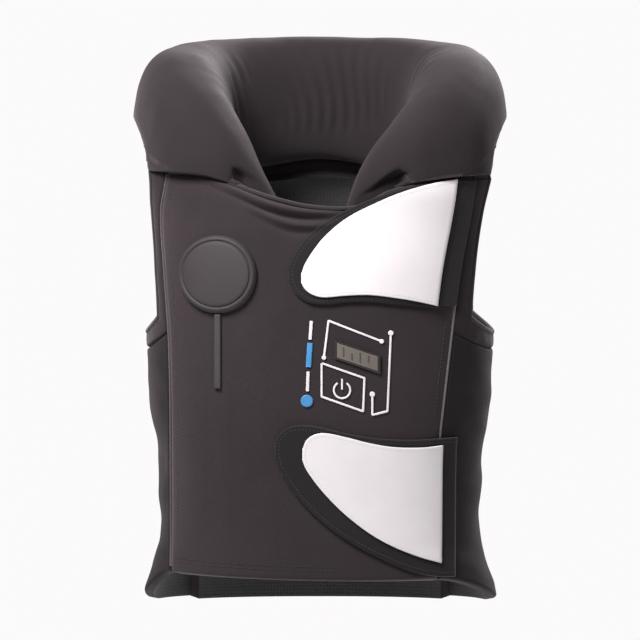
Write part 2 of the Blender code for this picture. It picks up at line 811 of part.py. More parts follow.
def layer_net(name, table, tip, root, thickness, lift, finish):
    """A thin layer on the chest, its outline from a table, its root at a place for a height."""
    place = chest(lift)
    net = []
    for i in range(FLAP_COLUMNS + 1):
        share = (i / FLAP_COLUMNS) ** FLAP_CROWDING
        upper, lower = read_table(table, share)
        row = []
        for j in range(FLAP_ROWS + 1):
            z = -mix(upper, lower, j / FLAP_ROWS) * BACK_LENGTH
            x = mix(tip, root(z), share)
            row.append(pair(place, x, z, thickness, 0.0))
        net.append(row)
    padded_net(name, net, finish)


def anchor_line(z):
    """The edge between the upper patch and its anchor strip."""
    return front_seam(1, z) - ANCHOR_WIDTH - LAYER_GAP


def flaps(flap_finish, patch_finish, anchor_finish):
    base = LAYER_GAP
    over = base + FLAP_THICKNESS + LAYER_GAP
    layer_net("upper_flap", UPPER_FLAP, UPPER_FLAP_TIP, anchor_line, FLAP_THICKNESS, base,
              flap_finish)
    layer_net("upper_flap_patch", UPPER_PATCH, UPPER_PATCH_TIP,
              lambda z: anchor_line(z) - LAYER_GAP, PATCH_THICKNESS, over, patch_finish)
    layer_net("lower_flap", LOWER_FLAP, LOWER_FLAP_TIP,
              lambda z: front_seam(1, z) + LOWER_FLAP_OVERLAP, FLAP_THICKNESS, base, flap_finish)
    layer_net("lower_flap_patch", LOWER_PATCH, LOWER_PATCH_TIP,
              lambda z: front_seam(1, z), PATCH_THICKNESS, over, patch_finish)
    anchor(anchor_finish)


def anchor(finish):
    """The strip that joins the upper flap to the edge of the chest."""
    place = chest(LAYER_GAP)
    upper = UPPER_PATCH[-1][1]
    lower = UPPER_PATCH[-1][2]
    net = []
    for i in range(ANCHOR_ROWS + 1):
        z = -mix(upper, lower, i / ANCHOR_ROWS) * BACK_LENGTH
        row = []
        for across in (0.0, 0.5, 1.0):
            x = mix(anchor_line(z) + LAYER_GAP, front_seam(1, z), across)
            row.append(pair(place, x, z, ANCHOR_THICKNESS, 0.0))
        net.append(row)
    padded_net("upper_flap_anchor", net, finish)


def valve_cover(finish):
    """A round padded cover, a shallow dome that follows the chest."""
    place = chest(LAYER_GAP)
    sides = VALVE_SIDES
    middle = pair(place, VALVE_ACROSS, -VALVE_DROP, VALVE_THICKNESS, 0.0)
    outer = [middle[0]]
    inner = [middle[1]]
    for radius, height in VALVE_RINGS:
        for k in range(sides):
            turn = 2 * math.pi * k / sides
            x = VALVE_ACROSS + VALVE_RADIUS * radius * math.cos(turn)
            z = -VALVE_DROP + VALVE_RADIUS * radius * math.sin(turn)
            both = pair(place, x, z, VALVE_THICKNESS * height, 0.0)
            outer.append(both[0])
            inner.append(both[1])
    count = len(outer)
    faces = []
    for k in range(sides):
        m = (k + 1) % sides
        faces.append((0, 1 + k, 1 + m))
        faces.append((count, count + 1 + m, count + 1 + k))
        for ring in range(len(VALVE_RINGS) - 1):
            a = 1 + ring * sides + k
            b = 1 + ring * sides + m
            faces.append((a, a + sides, b + sides, b))
            faces.append((count + b, count + b + sides, count + a + sides, count + a))
        a = 1 + (len(VALVE_RINGS) - 1) * sides + k
        b = 1 + (len(VALVE_RINGS) - 1) * sides + m
        faces.append((a, count + a, count + b, b))
    mesh_from("valve_cover", outer + inner, faces, finish, 40.0)


def small_plate(name, across, drop, width, height, slant, thickness, steps, finish):
    """A small plate on the chest, given by its centre, sizes and the slant of its long edges."""
    place = chest(LAYER_GAP)
    columns, rows = steps
    net = []
    for i in range(rows + 1):
        row = []
        for j in range(columns + 1):
            aside = (j / columns - 0.5) * width
            x = across + aside
            z = -drop + (i / rows - 0.5) * height - slant * aside
            row.append(pair(place, x, z, thickness, 0.0))
        net.append(row)
    padded_net(name, net, finish)


def main():
    clear_scene()
    collection = bpy.data.collections.new(COLLECTION)
    bpy.context.scene.collection.children.link(collection)
    finish = {name: material(name) for name in COLOURS}

    front_panel(finish["stretch_fabric"])
    back_panel(finish["stretch_fabric"])
    side_panel("side_panel_right", -1, finish["side_fabric"])
    side_panel("side_panel_left", 1, finish["side_fabric"])
    yoke("yoke_right", -1, finish["collar_fabric"])
    yoke("yoke_left", 1, finish["collar_fabric"])
    armhole_band("armhole_band_right", -1, finish["collar_fabric"])
    armhole_band("armhole_band_left", 1, finish["collar_fabric"])
    collar(finish["collar_fabric"])
    flaps(finish["flap_fabric"], finish["coated_patch"], finish["anchor_fabric"])
    valve_cover(finish["valve_rubber"])
    strip_drop = VALVE_DROP + VALVE_RADIUS + LAYER_GAP + STRIP_LENGTH / 2
    small_plate("cover_strip", VALVE_ACROSS, strip_drop, STRIP_WIDTH, STRIP_LENGTH, 0.0,
                STRIP_THICKNESS, STRIP_STEPS, finish["valve_rubber"])
    small_plate("display_window", DISPLAY_ACROSS, DISPLAY_DROP, DISPLAY_WIDTH, DISPLAY_HEIGHT,
                DISPLAY_SLANT, DISPLAY_THICKNESS, DISPLAY_STEPS, finish["display_plastic"])


main()
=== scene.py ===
"""Looks of the racing airbag vest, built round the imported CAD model.

Metres, +Z up.  The wearer faces -Y, so +X is the wearer's left.
"""
import math

import bpy
import numpy as np
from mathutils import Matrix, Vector, noise


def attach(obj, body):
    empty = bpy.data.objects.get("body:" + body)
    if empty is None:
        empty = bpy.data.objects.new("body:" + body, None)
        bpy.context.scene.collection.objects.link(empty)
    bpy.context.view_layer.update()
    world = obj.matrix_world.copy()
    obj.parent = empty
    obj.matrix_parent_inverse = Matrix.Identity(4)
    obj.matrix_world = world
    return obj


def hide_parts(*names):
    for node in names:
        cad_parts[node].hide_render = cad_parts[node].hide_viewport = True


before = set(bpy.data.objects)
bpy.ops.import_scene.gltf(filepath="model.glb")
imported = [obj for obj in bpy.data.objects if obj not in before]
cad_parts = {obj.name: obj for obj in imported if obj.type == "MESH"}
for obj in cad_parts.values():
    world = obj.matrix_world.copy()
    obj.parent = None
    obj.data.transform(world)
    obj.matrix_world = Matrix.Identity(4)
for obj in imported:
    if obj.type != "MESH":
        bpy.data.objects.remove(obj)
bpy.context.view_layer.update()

# The CAD model's named sizes and tables, repeated here because part.py isn't read
CHEST_WIDTH = 0.320
FRONT_DEPTH = 0.120
BACK_DEPTH = 0.138
BACK_LENGTH = 0.420
FRONT_LENGTH = 0.395
HEM_LIFT = 0.0045
HEM_TILT = 0.0025
HEM_TURN = 1.4
FRONT_SQUARENESS = 2.6
BACK_SQUARENESS = 2.3
FRONT_THICKNESS = 0.012
BACK_THICKNESS = 0.022
SIDE_THICKNESS = 0.009
SEAM_GAP = 0.0003
YOKE_GAP = 0.0004
YOKE_THICKNESS = 0.016
YOKE_INNER = 0.082
YOKE_OUTER = 0.163
SHOULDER_DROP = 0.050
SHOULDER_ARCH = 2.2
CORNER_DROP = 0.0225
NECK_SCOOP = 0.033
BACK_CORNER_DROP = 0.0225
BACK_NECK_RISE = 0.010
FRONT_SEAM_RIGHT = 0.141
FRONT_SEAM_LEFT = 0.143
BACK_SEAM = 0.128
ARMHOLE_DEPTH = 0.168
ARMHOLE_SAG = 0.018
ARMHOLE_ROUND = 0.8
ARMHOLE_HALF = 0.070
BAND_WIDTH = 0.017
BAND_THICKNESS = 0.012
NECK_AXIS_BACK = 0.012
COLLAR_REACH = 0.127
COLLAR_RISE = 0.091
COLLAR_HALF_WIDTH = 0.046
COLLAR_SQUARENESS = 2.4
COLLAR_BACK_GAP = 0.0003
COLLAR_SEAT_GAP = 0.0022
COLLAR_WALL_GAP = 0.0042
COLLAR_LIP = 0.012
COLLAR_UNDER = 0.0010
COLLAR_LEAN = 1.2
COLLAR_FRONT_GAP = 0.0014
COLLAR_FLAP_GAP = 0.0044
COLLAR_TUCK = 0.90
COLLAR_FIRM = 0.985
COLLAR_SPILL_START = 0.86
COLLAR_ROUND = 0.012
COLLAR_ROUND_END = 122.0
COLLAR_ROUND_FADE = 26.0
COLLAR_SPILL = 0.30
COLLAR_SPILL_DEPTH = 0.030
LAYER_GAP = 0.0008
FLAP_THICKNESS = 0.0028
PATCH_THICKNESS = 0.0016
ANCHOR_WIDTH = 0.017
ANCHOR_THICKNESS = 0.0018
VALVE_RADIUS = 0.0355
VALVE_THICKNESS = 0.0065
VALVE_ACROSS = -0.093
VALVE_DROP = 0.115
STRIP_WIDTH = 0.0058
STRIP_LENGTH = 0.068
STRIP_THICKNESS = 0.0022
DISPLAY_WIDTH = 0.042
DISPLAY_HEIGHT = 0.017
DISPLAY_SLANT = 0.34
DISPLAY_THICKNESS = 0.0015
DISPLAY_ACROSS = 0.034
DISPLAY_DROP = 0.190
LOWER_ROWS = 10
FRONT_UPPER_ROWS = 13
FRONT_CROWDING = 1.7
BACK_UPPER_ROWS = 9
BACK_CROWDING = 1.6
FLAP_CROWDING = 1.6
TOP = YOKE_THICKNESS

BODY_SECTIONS = [
    # drop, width, front, back
    (-0.05, 1.22, 0.90, 0.92),
    (0.00, 1.18, 0.91, 0.94),
    (0.055, 1.10, 0.92, 0.96),
    (0.14, 1.02, 0.95, 0.98),
    (0.28, 1.00, 1.00, 1.00),
    (0.42, 1.00, 1.01, 0.99),
    (0.535, 0.99, 1.00, 0.95),
    (0.643, 0.95, 0.97, 0.91),
    (0.764, 0.925, 0.94, 0.88),
    (0.864, 0.925, 0.935, 0.89),
    (0.921, 0.97, 0.945, 0.92),
    (0.964, 1.01, 0.955, 0.95),
    (1.05, 1.05, 0.97, 1.00),
]
NECKLINE = [
    # across, drop
    (0.00, 0.00),
    (0.10, 0.04),
    (0.21, 0.32),
    (0.33, 0.68),
    (0.44, 0.92),
    (0.53, 1.00),
    (0.61, 0.98),
    (0.66, 0.84),
    (0.72, 0.56),
    (0.83, 0.36),
    (1.00, 0.20),
]
SEAM_LINE = [
    # drop, right, left
    (0.00, 1.00, 1.01),
    (0.06, 1.00, 1.00),
    (0.14, 1.04, 0.965),
    (0.27, 1.02, 0.895),
    (0.41, 0.99, 0.845),
    (0.54, 0.98, 0.80),
    (0.64, 0.98, 0.77),
    (0.80, 0.98, 0.762),
    (1.00, 0.98, 0.762),
]
FOLD_HEIGHT = 0.0041
FOLD_WIDTH = 0.0033
FOLD_FADE = 0.7
FOLDS = [
    # start, end, below start, middle, end, height, width
    (-0.80, 0.16, 0.06, 0.17, 0.08, 1.00, 1.00),
    (-0.72, 0.12, 0.26, 0.38, 0.26, -0.90, 0.90),
    (-0.52, 0.08, 0.44, 0.56, 0.44, 0.85, 1.00),
    (-0.44, 0.02, 0.64, 0.76, 0.66, -0.60, 1.20),
]
COLLAR_TABLE = [
    # azimuth, reach, middle, top, width
    (-163.0, 0.84, -0.86, -0.68, 0.13),
    (-152.0, 0.88, -0.60, -0.26, 0.28),
    (-140.0, 0.96, -0.30, 0.20, 0.64),
    (-125.0, 1.02, -0.17, 0.60, 0.92),
    (-108.0, 1.01, 0.04, 0.88, 1.00),
    (-90.0, 1.00, 0.18, 1.00, 1.00),
    (-60.0, 0.96, 0.20, 1.07, 0.95),
    (-30.0, 0.84, 0.24, 1.11, 0.82),
    (0.0, 0.78, 0.26, 1.12, 0.76),
    (30.0, 0.84, 0.24, 1.11, 0.82),
    (60.0, 0.96, 0.20, 1.07, 0.95),
    (90.0, 1.00, 0.18, 1.00, 1.00),
    (108.0, 1.01, 0.04, 0.88, 1.00),
    (125.0, 1.02, -0.16, 0.64, 0.92),
    (140.0, 0.96, -0.26, 0.36, 0.66),
    (152.0, 0.87, -0.46, 0.04, 0.36),
    (161.0, 0.83, -0.62, -0.28, 0.22),
    (168.0, 0.83, -0.84, -0.66, 0.13),
]
UPPER_FLAP_TIP = -0.029
UPPER_FLAP = [
    # across, upper, lower
    (0.000, 0.262, 0.286),
    (0.020, 0.245, 0.302),
    (0.065, 0.217, 0.320),
    (0.140, 0.185, 0.335),
    (0.250, 0.155, 0.339),
    (0.400, 0.126, 0.334),
    (0.550, 0.104, 0.334),
    (0.750, 0.083, 0.340),
    (1.000, 0.070, 0.347),
]
UPPER_PATCH_TIP = -0.017
UPPER_PATCH = [
    # across, upper, lower
    (0.000, 0.272, 0.292),
    (0.025, 0.252, 0.305),
    (0.080, 0.224, 0.317),
    (0.160, 0.192, 0.323),
    (0.300, 0.153, 0.320),
    (0.480, 0.121, 0.318),
    (0.650, 0.098, 0.323),
    (0.850, 0.079, 0.333),
    (1.000, 0.070, 0.343),
]
LOWER_FLAP_TIP = -0.041
LOWER_FLAP_OVERLAP = 0.014
LOWER_FLAP = [
    # across, upper, lower
    (0.000, 0.638, 0.672),
    (0.020, 0.623, 0.694),
    (0.065, 0.607, 0.725),
    (0.130, 0.601, 0.760),
    (0.230, 0.604, 0.802),
    (0.380, 0.618, 0.848),
    (0.560, 0.630, 0.888),
    (0.760, 0.634, 0.922),
    (0.900, 0.632, 0.934),
    (1.000, 0.630, 0.936),
]
LOWER_PATCH_TIP = -0.016
LOWER_PATCH = [
    # across, upper, lower
    (0.000, 0.652, 0.676),
    (0.025, 0.634, 0.695),
    (0.080, 0.621, 0.720),
    (0.160, 0.617, 0.750),
    (0.300, 0.625, 0.793),
    (0.480, 0.639, 0.836),
    (0.650, 0.648, 0.866),
    (0.850, 0.650, 0.892),
    (1.000, 0.646, 0.906),
]


# Curves and faces of the body, as in the CAD but on whole arrays

def smooth(value):
    value = np.clip(value, 0.0, 1.0)
    return value * value * (3.0 - 2.0 * value)


def mix(start, end, share):
    return start + (end - start) * share


def read_table(rows, key):
    rows = np.array(rows, float)
    key = np.clip(np.asarray(key, float), rows[0, 0], rows[-1, 0])
    at = np.clip(np.searchsorted(rows[:, 0], key) - 1, 0, len(rows) - 2)
    low = rows[at]
    high = rows[at + 1]
    before = rows[np.maximum(at - 1, 0)]
    after = rows[np.minimum(at + 2, len(rows) - 1)]
    span = high[..., :1] - low[..., :1]
    t = (key[..., None] - low[..., :1]) / span
    slope_low = (high - before) / (high[..., :1] - before[..., :1]) * span
    slope_high = (after - low) / (after[..., :1] - low[..., :1]) * span
    values = (2 * t ** 3 - 3 * t ** 2 + 1) * low + (t ** 3 - 2 * t ** 2 + t) * slope_low
    values = values + (3 * t ** 2 - 2 * t ** 3) * high + (t ** 3 - t ** 2) * slope_high
    return np.moveaxis(values[..., 1:], -1, 0)


def body_section(z):
    width, front, back = read_table(BODY_SECTIONS, -z / BACK_LENGTH)
    return width * CHEST_WIDTH / 2, front * FRONT_DEPTH, back * BACK_DEPTH


def arch_share(z):
    rise = np.clip((z + SHOULDER_DROP) / (TOP + SHOULDER_DROP), 0.0, 1.0)
    return (1.0 - rise ** SHOULDER_ARCH) ** (1.0 / SHOULDER_ARCH)


def round_share(x, half_width, squareness):
    share = np.clip(np.abs(x) / half_width, 0.0, 1.0)
    return (1.0 - share ** squareness) ** (1.0 / squareness)


def points(x, y, z):
    return np.stack(np.broadcast_arrays(x, y, z), axis=-1)


def front_face(x, z):
    half_width, front, _ = body_section(z)
    return points(x, -front * arch_share(z) * round_share(x, half_width, FRONT_SQUARENESS), z)


def back_face(x, z):
    half_width, _, back = body_section(z)
    return points(x, back * arch_share(z) * round_share(x, half_width, BACK_SQUARENESS), z)


def side_angle(x, z, squareness):
    share = np.clip(np.abs(x) / body_section(z)[0], 0.0, 1.0)
    return np.arccos(share ** (squareness / 2.0))


def side_face(side):
    def place(angle, z):
        half_width, front, back = body_section(z)
        depth = np.where(angle < 0, -front, back)
        power = np.where(angle < 0, 2.0 / FRONT_SQUARENESS, 2.0 / BACK_SQUARENESS)
        across = half_width * np.clip(np.cos(angle), 0.0, 1.0) ** power
        along = depth * arch_share(z) * np.abs(np.sin(angle)) ** power
        return points(side * across, along, z)
    return place


def arch_angle(z):
    rise = np.clip((z + SHOULDER_DROP) / (TOP + SHOULDER_DROP), 0.0, 1.0)
    return np.arcsin(rise ** (SHOULDER_ARCH / 2.0))


def arch_face(x, turn):
    sine = np.clip(np.sin(turn), 0.0, 1.0)
    z = -SHOULDER_DROP + (TOP + SHOULDER_DROP) * sine ** (2.0 / SHOULDER_ARCH)
    half_width, front, back = body_section(z)
    share = np.abs(np.cos(turn)) ** (2.0 / SHOULDER_ARCH)
    ahead = -front * round_share(x, half_width, FRONT_SQUARENESS)
    behind = back * round_share(x, half_width, BACK_SQUARENESS)
    return points(x, np.where(turn < math.pi / 2, ahead, behind) * share, z)


def outward(place, u, v):
    step = 0.0004
    along_u = place(u + step, v) - place(u - step, v)
    along_v = place(u, v + step) - place(u, v - step)
    normal = np.cross(along_u, along_v)
    normal /= np.maximum(np.linalg.norm(normal, axis=-1, keepdims=True), 1e-12)
    away = place(u, v) - np.array((0.0, 0.0, -SHOULDER_DROP))
    flip = np.where((normal * away).sum(-1, keepdims=True) < 0, -1.0, 1.0)
    return normal * flip


def front_seam(side, z):
    right, left = read_table(SEAM_LINE, -z / BACK_LENGTH)
    return -right * FRONT_SEAM_RIGHT if side < 0 else left * FRONT_SEAM_LEFT


def front_corner(side):
    drop = CORNER_DROP + (NECKLINE[-1][1] * NECK_SCOOP if side > 0 else 0.0)
    return float(front_seam(side, np.array(-drop))), -drop


def neckline(x):
    right = front_corner(-1)[0]
    left = front_corner(1)[0]
    return -CORNER_DROP - NECK_SCOOP * read_table(NECKLINE, (x - right) / (left - right))[0]


def front_hem(x):
    lift = (x / FRONT_SEAM_RIGHT) ** 2
    return -FRONT_LENGTH + HEM_LIFT * lift - HEM_TILT * x / FRONT_SEAM_LEFT


def side_hem(side, share):
    front = front_hem(front_seam(side, np.array(-FRONT_LENGTH)))
    return mix(front, -BACK_LENGTH, smooth(share * HEM_TURN))


def underarm(share):
    return -ARMHOLE_DEPTH - ARMHOLE_SAG * np.sin(math.pi * np.clip(share, 0, 1)) ** ARMHOLE_ROUND


def back_top(x):
    return -BACK_CORNER_DROP + BACK_NECK_RISE * (1.0 - smooth(np.abs(x) / YOKE_INNER))


def slide(place, u, v, distance):
    step = 0.001
    length = np.linalg.norm(place(u + step, v) - place(u - step, v), axis=-1)
    return distance * 2 * step / length


def swag(x, z):
    total = np.zeros(np.broadcast(x, z).shape)
    for start, end, first, middle, last, height, width in FOLDS:
        share = (x / FRONT_SEAM_RIGHT - start) / (end - start)
        inside = (share > 0.0) & (share < 1.0)
        share = np.clip(share, 0.0, 1.0)
        half = np.where(share > 0.5, mix(middle, last, smooth(share * 2 - 1)),
                        mix(first, middle, smooth(share * 2)))
        away = (neckline(x) - half * NECK_SCOOP - z) / (width * FOLD_WIDTH)
        fade = np.sin(math.pi * share) ** FOLD_FADE
        total = total + np.where(inside, height * FOLD_HEIGHT * np.exp(-away * away) * fade, 0.0)
    return total


def panel_height(hem, top, i, upper_rows, crowding):
    share = np.clip((i - LOWER_ROWS) / upper_rows, 0.0, 1.0)
    upper = mix(-ARMHOLE_DEPTH, top, 1.0 - (1.0 - share) ** crowding)
    return np.where(i <= LOWER_ROWS, mix(hem, -ARMHOLE_DEPTH, i / LOWER_ROWS), upper)


def side_angles(side, z):
    place = side_face(side)
    first = -side_angle(front_seam(side, z), z, FRONT_SQUARENESS)
    last = side_angle(BACK_SEAM, z, BACK_SQUARENESS)
    return first + slide(place, first, z, SEAM_GAP), last - slide(place, last, z, SEAM_GAP)


# Building meshes

def bumps(at, size, seed):
    """Even noise at points, -1 to 1, for soft unevenness of cloth."""
    flat = at.reshape(-1, 3) / size + seed
    values = [noise.noise(Vector(p)) for p in flat.tolist()]
    return np.array(values).reshape(at.shape[:-1])


def crowd(count, strength=0.75):
    """Shares from 0 to 1 that lie closer together towards both ends."""
    t = np.linspace(0.0, 1.0, count)
    return t - strength * np.sin(2 * math.pi * t) / (2 * math.pi)


def rolled(distance, radius):
    """How far a rounded edge sinks at a distance from it."""
    away = np.clip(1.0 - distance / radius, 0.0, 1.0)
    return radius * (1.0 - np.sqrt(1.0 - away * away * 0.96))


def add_object(name, verts, faces, finishes, which=None, uv=None, angle=None):
    mesh = bpy.data.meshes.new(name)
    mesh.from_pydata(np.asarray(verts).tolist(), [], faces.tolist() if hasattr(faces, "tolist")
                     else faces)
    for finish in finishes:
        mesh.materials.append(finish)
    if which is not None:
        mesh.polygons.foreach_set("material_index", np.asarray(which, np.int32))
    if uv is not None:
        layer = mesh.uv_layers.new(name="cloth")
        corners = np.empty(len(mesh.loops), np.int32)
        mesh.loops.foreach_get("vertex_index", corners)
        layer.data.foreach_set("uv", np.asarray(uv, np.float32)[corners].ravel())
    mesh.shade_smooth()
    if angle is not None:
        mesh.set_sharp_from_angle(angle=math.radians(angle))
    mesh.update()
    obj = bpy.data.objects.new(name, mesh)
    bpy.context.scene.collection.objects.link(obj)
    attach(obj, "root")
    return obj


def facing_out(verts, faces):
    """The faces, turned over if the closed shape they make is inside out."""
    a = verts[faces[:, 0]]
    b = verts[faces[:, 1]]
    c = verts[faces[:, 2]]
    d = verts[faces[:, 3]]
    volume = (a * np.cross(b, c)).sum() + (a * np.cross(c, d)).sum()
    return faces if volume > 0 else faces[:, ::-1]


def grid_faces(rows, columns, base=0, wrap=False):
    i, j = np.meshgrid(np.arange(rows - 1), np.arange(columns if wrap else columns - 1),
                       indexing="ij")
    a = base + i * columns + j
    b = base + i * columns + (j + 1) % columns
    return np.stack((a, b, b + columns, a + columns), axis=-1).reshape(-1, 4)


def border(rows, columns):
    edge = [(0, j) for j in range(columns)]
    edge += [(i, columns - 1) for i in range(1, rows)]
    edge += [(rows - 1, j) for j in range(columns - 2, -1, -1)]
    edge += [(i, 0) for i in range(rows - 2, 0, -1)]
    return np.array([i * columns + j for i, j in edge])


def shell(name, outer, inner, uv, finishes):
    """A closed piece of cloth from an outer and an inner net; the inner face has its lining."""
    rows, columns = outer.shape[:2]
    count = rows * columns
    verts = np.concatenate((outer.reshape(-1, 3), inner.reshape(-1, 3)))
    front = grid_faces(rows, columns)
    back = grid_faces(rows, columns, count)[:, ::-1]
    edge = border(rows, columns)
    following = np.roll(edge, -1)
    rim = np.stack((following, edge, edge + count, following + count), axis=-1)
    faces = facing_out(verts, np.concatenate((front, back, rim)))
    which = np.zeros(len(faces), np.int32)
    if len(finishes) > 1:
        which[len(front):len(front) + len(back)] = 1
    uv = np.concatenate((uv.reshape(-1, 2), uv.reshape(-1, 2)))
    return add_object(name, verts, faces, finishes, which, uv)


def tube(name, path, radius, finish, sides=10, closed=False, flat=1.0, normals=None):
    """A round cord along a path, or a flatter one where normals say which way is up."""
    path = np.asarray(path, float)
    if closed:
        ahead = np.roll(path, -1, axis=0) - np.roll(path, 1, axis=0)
    else:
        ahead = np.gradient(path, axis=0)
    ahead /= np.linalg.norm(ahead, axis=1, keepdims=True)
    if normals is None:
        normals = np.tile(np.array((0.0, -1.0, 0.0)), (len(path), 1))
    across = np.cross(ahead, normals)
    across /= np.linalg.norm(across, axis=1, keepdims=True)
    up = np.cross(across, ahead)
    turn = np.linspace(0.0, 2 * math.pi, sides, endpoint=False)
    ring = radius * (np.cos(turn)[None, :, None] * across[:, None, :]
                     + flat * np.sin(turn)[None, :, None] * up[:, None, :])
    verts = (path[:, None, :] + ring).reshape(-1, 3)
    faces = grid_faces(len(path), sides, wrap=True)
    if closed:
        last = (len(path) - 1) * sides
        j = np.arange(sides)
        extra = np.stack((last + j, last + (j + 1) % sides, (j + 1) % sides, j), axis=-1)
        faces = np.concatenate((faces, extra))
    run = np.concatenate(((0.0,), np.cumsum(np.linalg.norm(np.diff(path, axis=0), axis=1))))
    uv = points(run[:, None], turn[None, :] * radius, 0.0)[..., :2].reshape(-1, 2)
    faces = facing_out(verts, faces)
    if not closed:
        caps = [list(range(sides))[::-1], list(range(len(verts) - sides, len(verts)))]
        faces = faces.tolist() + caps
    return add_object(name, verts, faces, [finish], None, uv)


def evenly(path, spacing, closed=False):
    """A path's points again, evenly spaced."""
    path = np.asarray(path, float)
    if closed:
        path = np.concatenate((path, path[:1]))
    run = np.concatenate(((0.0,), np.cumsum(np.linalg.norm(np.diff(path, axis=0), axis=1))))
    count = max(int(round(run[-1] / spacing)), 2)
    at = np.linspace(0.0, run[-1], count + 1)
    if closed:
        at = at[:-1]
    return np.stack([np.interp(at, run, path[:, k]) for k in range(3)], axis=1)


def stitches(name, paths, finish, length=0.0026, pitch=0.0036, radius=0.00032):
    """Short threads along paths of (points, normals), each a small pointed bar."""
    verts = []
    faces = []
    for path, normals in paths:
        run = np.concatenate(((0.0,), np.cumsum(np.linalg.norm(np.diff(path, axis=0), axis=1))))
        count = max(int(run[-1] / pitch), 1)
        starts = (np.arange(count) + 0.5) * run[-1] / count
        for middle in starts:
            ends = []
            for at in (middle - length / 2, middle, middle + length / 2):
                ends.append(np.array([np.interp(at, run, path[:, k]) for k in range(3)]))
            up = np.array([np.interp(middle, run, normals[:, k]) for k in range(3)])
            up /= np.linalg.norm(up)
            ahead = ends[2] - ends[0]
            ahead /= max(np.linalg.norm(ahead), 1e-9)
            across = np.cross(ahead, up)
            base = len(verts)
            for where, thick, lift in ((0, 0.45, -0.4), (1, 1.0, 0.5), (2, 0.45, -0.4)):
                for k in range(6):
                    turn = 2 * math.pi * k / 6
                    verts.append(ends[where] + up * radius * lift + radius * thick
                                 * (math.cos(turn) * across + math.sin(turn) * up))
            for ring in range(2):
                for k in range(6):
                    a = base + ring * 6 + k
                    b = base + ring * 6 + (k + 1) % 6
                    faces.append((a, b, b + 6, a + 6))
            faces.append(tuple(range(base + 5, base - 1, -1)))
            faces.append(tuple(range(base + 12, base + 18)))
    return add_object(name, verts, faces, [finish])


# Finishes

def finish_nodes(name):
    made = bpy.data.materials.new(name)
    made.use_nodes = True
    tree = made.node_tree
    shader = tree.nodes["Principled BSDF"]
    return made, tree, shader


def noise_node(tree, scale, detail, roughness=0.55, vector=None):
    node = tree.nodes.new("ShaderNodeTexNoise")
    node.inputs["Scale"].default_value = scale
    node.inputs["Detail"].default_value = detail
    node.inputs["Roughness"].default_value = roughness
    if vector is not None:
        tree.links.new(vector, node.inputs["Vector"])
    return node.outputs["Fac"]


def ramp(tree, fac, low, high, start=0.3, end=0.7):
    node = tree.nodes.new("ShaderNodeValToRGB")
    node.color_ramp.elements[0].position = start
    node.color_ramp.elements[1].position = end
    node.color_ramp.elements[0].color = low
    node.color_ramp.elements[1].color = high
    tree.links.new(fac, node.inputs["Fac"])
    return node.outputs["Color"]


def math_node(tree, kind, first, second=None):
    node = tree.nodes.new("ShaderNodeMath")
    node.operation = kind
    for slot, value in enumerate((first, second)):
        if value is None:
            continue
        if isinstance(value, (int, float)):
            node.inputs[slot].default_value = value
        else:
            tree.links.new(value, node.inputs[slot])
    return node.outputs[0]


def bump_node(tree, height, strength, distance, normal=None):
    node = tree.nodes.new("ShaderNodeBump")
    node.inputs["Strength"].default_value = strength
    node.inputs["Distance"].default_value = distance
    tree.links.new(height, node.inputs["Height"])
    if normal is not None:
        tree.links.new(normal, node.inputs["Normal"])
    return node.outputs["Normal"]


def shade(colour, share):
    return tuple(min(c * share, 1.0) for c in colour[:3]) + (1.0,)


def cloth(name, colour, rib, depth, roughness=0.85, sheen=0.25, uneven=0.22, fuzz=0.00012,
          tint=(0.95, 0.80, 0.87)):
    """Knit or woven cloth: ribs both ways in the cloth's own directions, fuzz and soft
    unevenness of colour."""
    made, tree, shader = finish_nodes(name)
    object_at = tree.nodes.new("ShaderNodeTexCoord").outputs["Object"]
    uv = tree.nodes.new("ShaderNodeUVMap")
    uv.uv_map = "cloth"
    parts = tree.nodes.new("ShaderNodeSeparateXYZ")
    tree.links.new(uv.outputs["UV"], parts.inputs["Vector"])
    wave_u = math_node(tree, "SINE", math_node(tree, "MULTIPLY", parts.outputs["X"],
                                               2 * math.pi / rib))
    wave_v = math_node(tree, "SINE", math_node(tree, "MULTIPLY", parts.outputs["Y"],
                                               2 * math.pi / (rib * 1.35)))
    weave = math_node(tree, "MULTIPLY", wave_u, wave_v)
    large = noise_node(tree, 7.0, 3.0, 0.6, object_at)
    small = noise_node(tree, 260.0, 3.0, 0.6, object_at)
    patchy = ramp(tree, large, shade(colour, 1.0 - uneven), shade(colour, 1.0 + uneven))
    mixed = tree.nodes.new("ShaderNodeMix")
    mixed.data_type = "RGBA"
    mixed.blend_type = "MULTIPLY"
    mixed.inputs["Factor"].default_value = 0.55
    tree.links.new(patchy, mixed.inputs["A"])
    specks = ramp(tree, small, (0.80, 0.80, 0.80, 1.0), (1.12, 1.12, 1.12, 1.0), 0.35, 0.65)
    tree.links.new(specks, mixed.inputs["B"])
    tree.links.new(mixed.outputs["Result"], shader.inputs["Base Color"])
    rough = math_node(tree, "MULTIPLY_ADD", small, 0.18)
    rough.node.inputs[2].default_value = roughness - 0.09
    tree.links.new(rough, shader.inputs["Roughness"])
    normal = bump_node(tree, weave, 0.55, depth)
    normal = bump_node(tree, small, 0.5, fuzz, normal)
    tree.links.new(normal, shader.inputs["Normal"])
    shader.inputs["Sheen Weight"].default_value = sheen
    shader.inputs["Sheen Roughness"].default_value = 0.55
    shader.inputs["Sheen Tint"].default_value = tuple(tint) + (1.0,)
    shader.inputs["Specular IOR Level"].default_value = 0.22
    return made


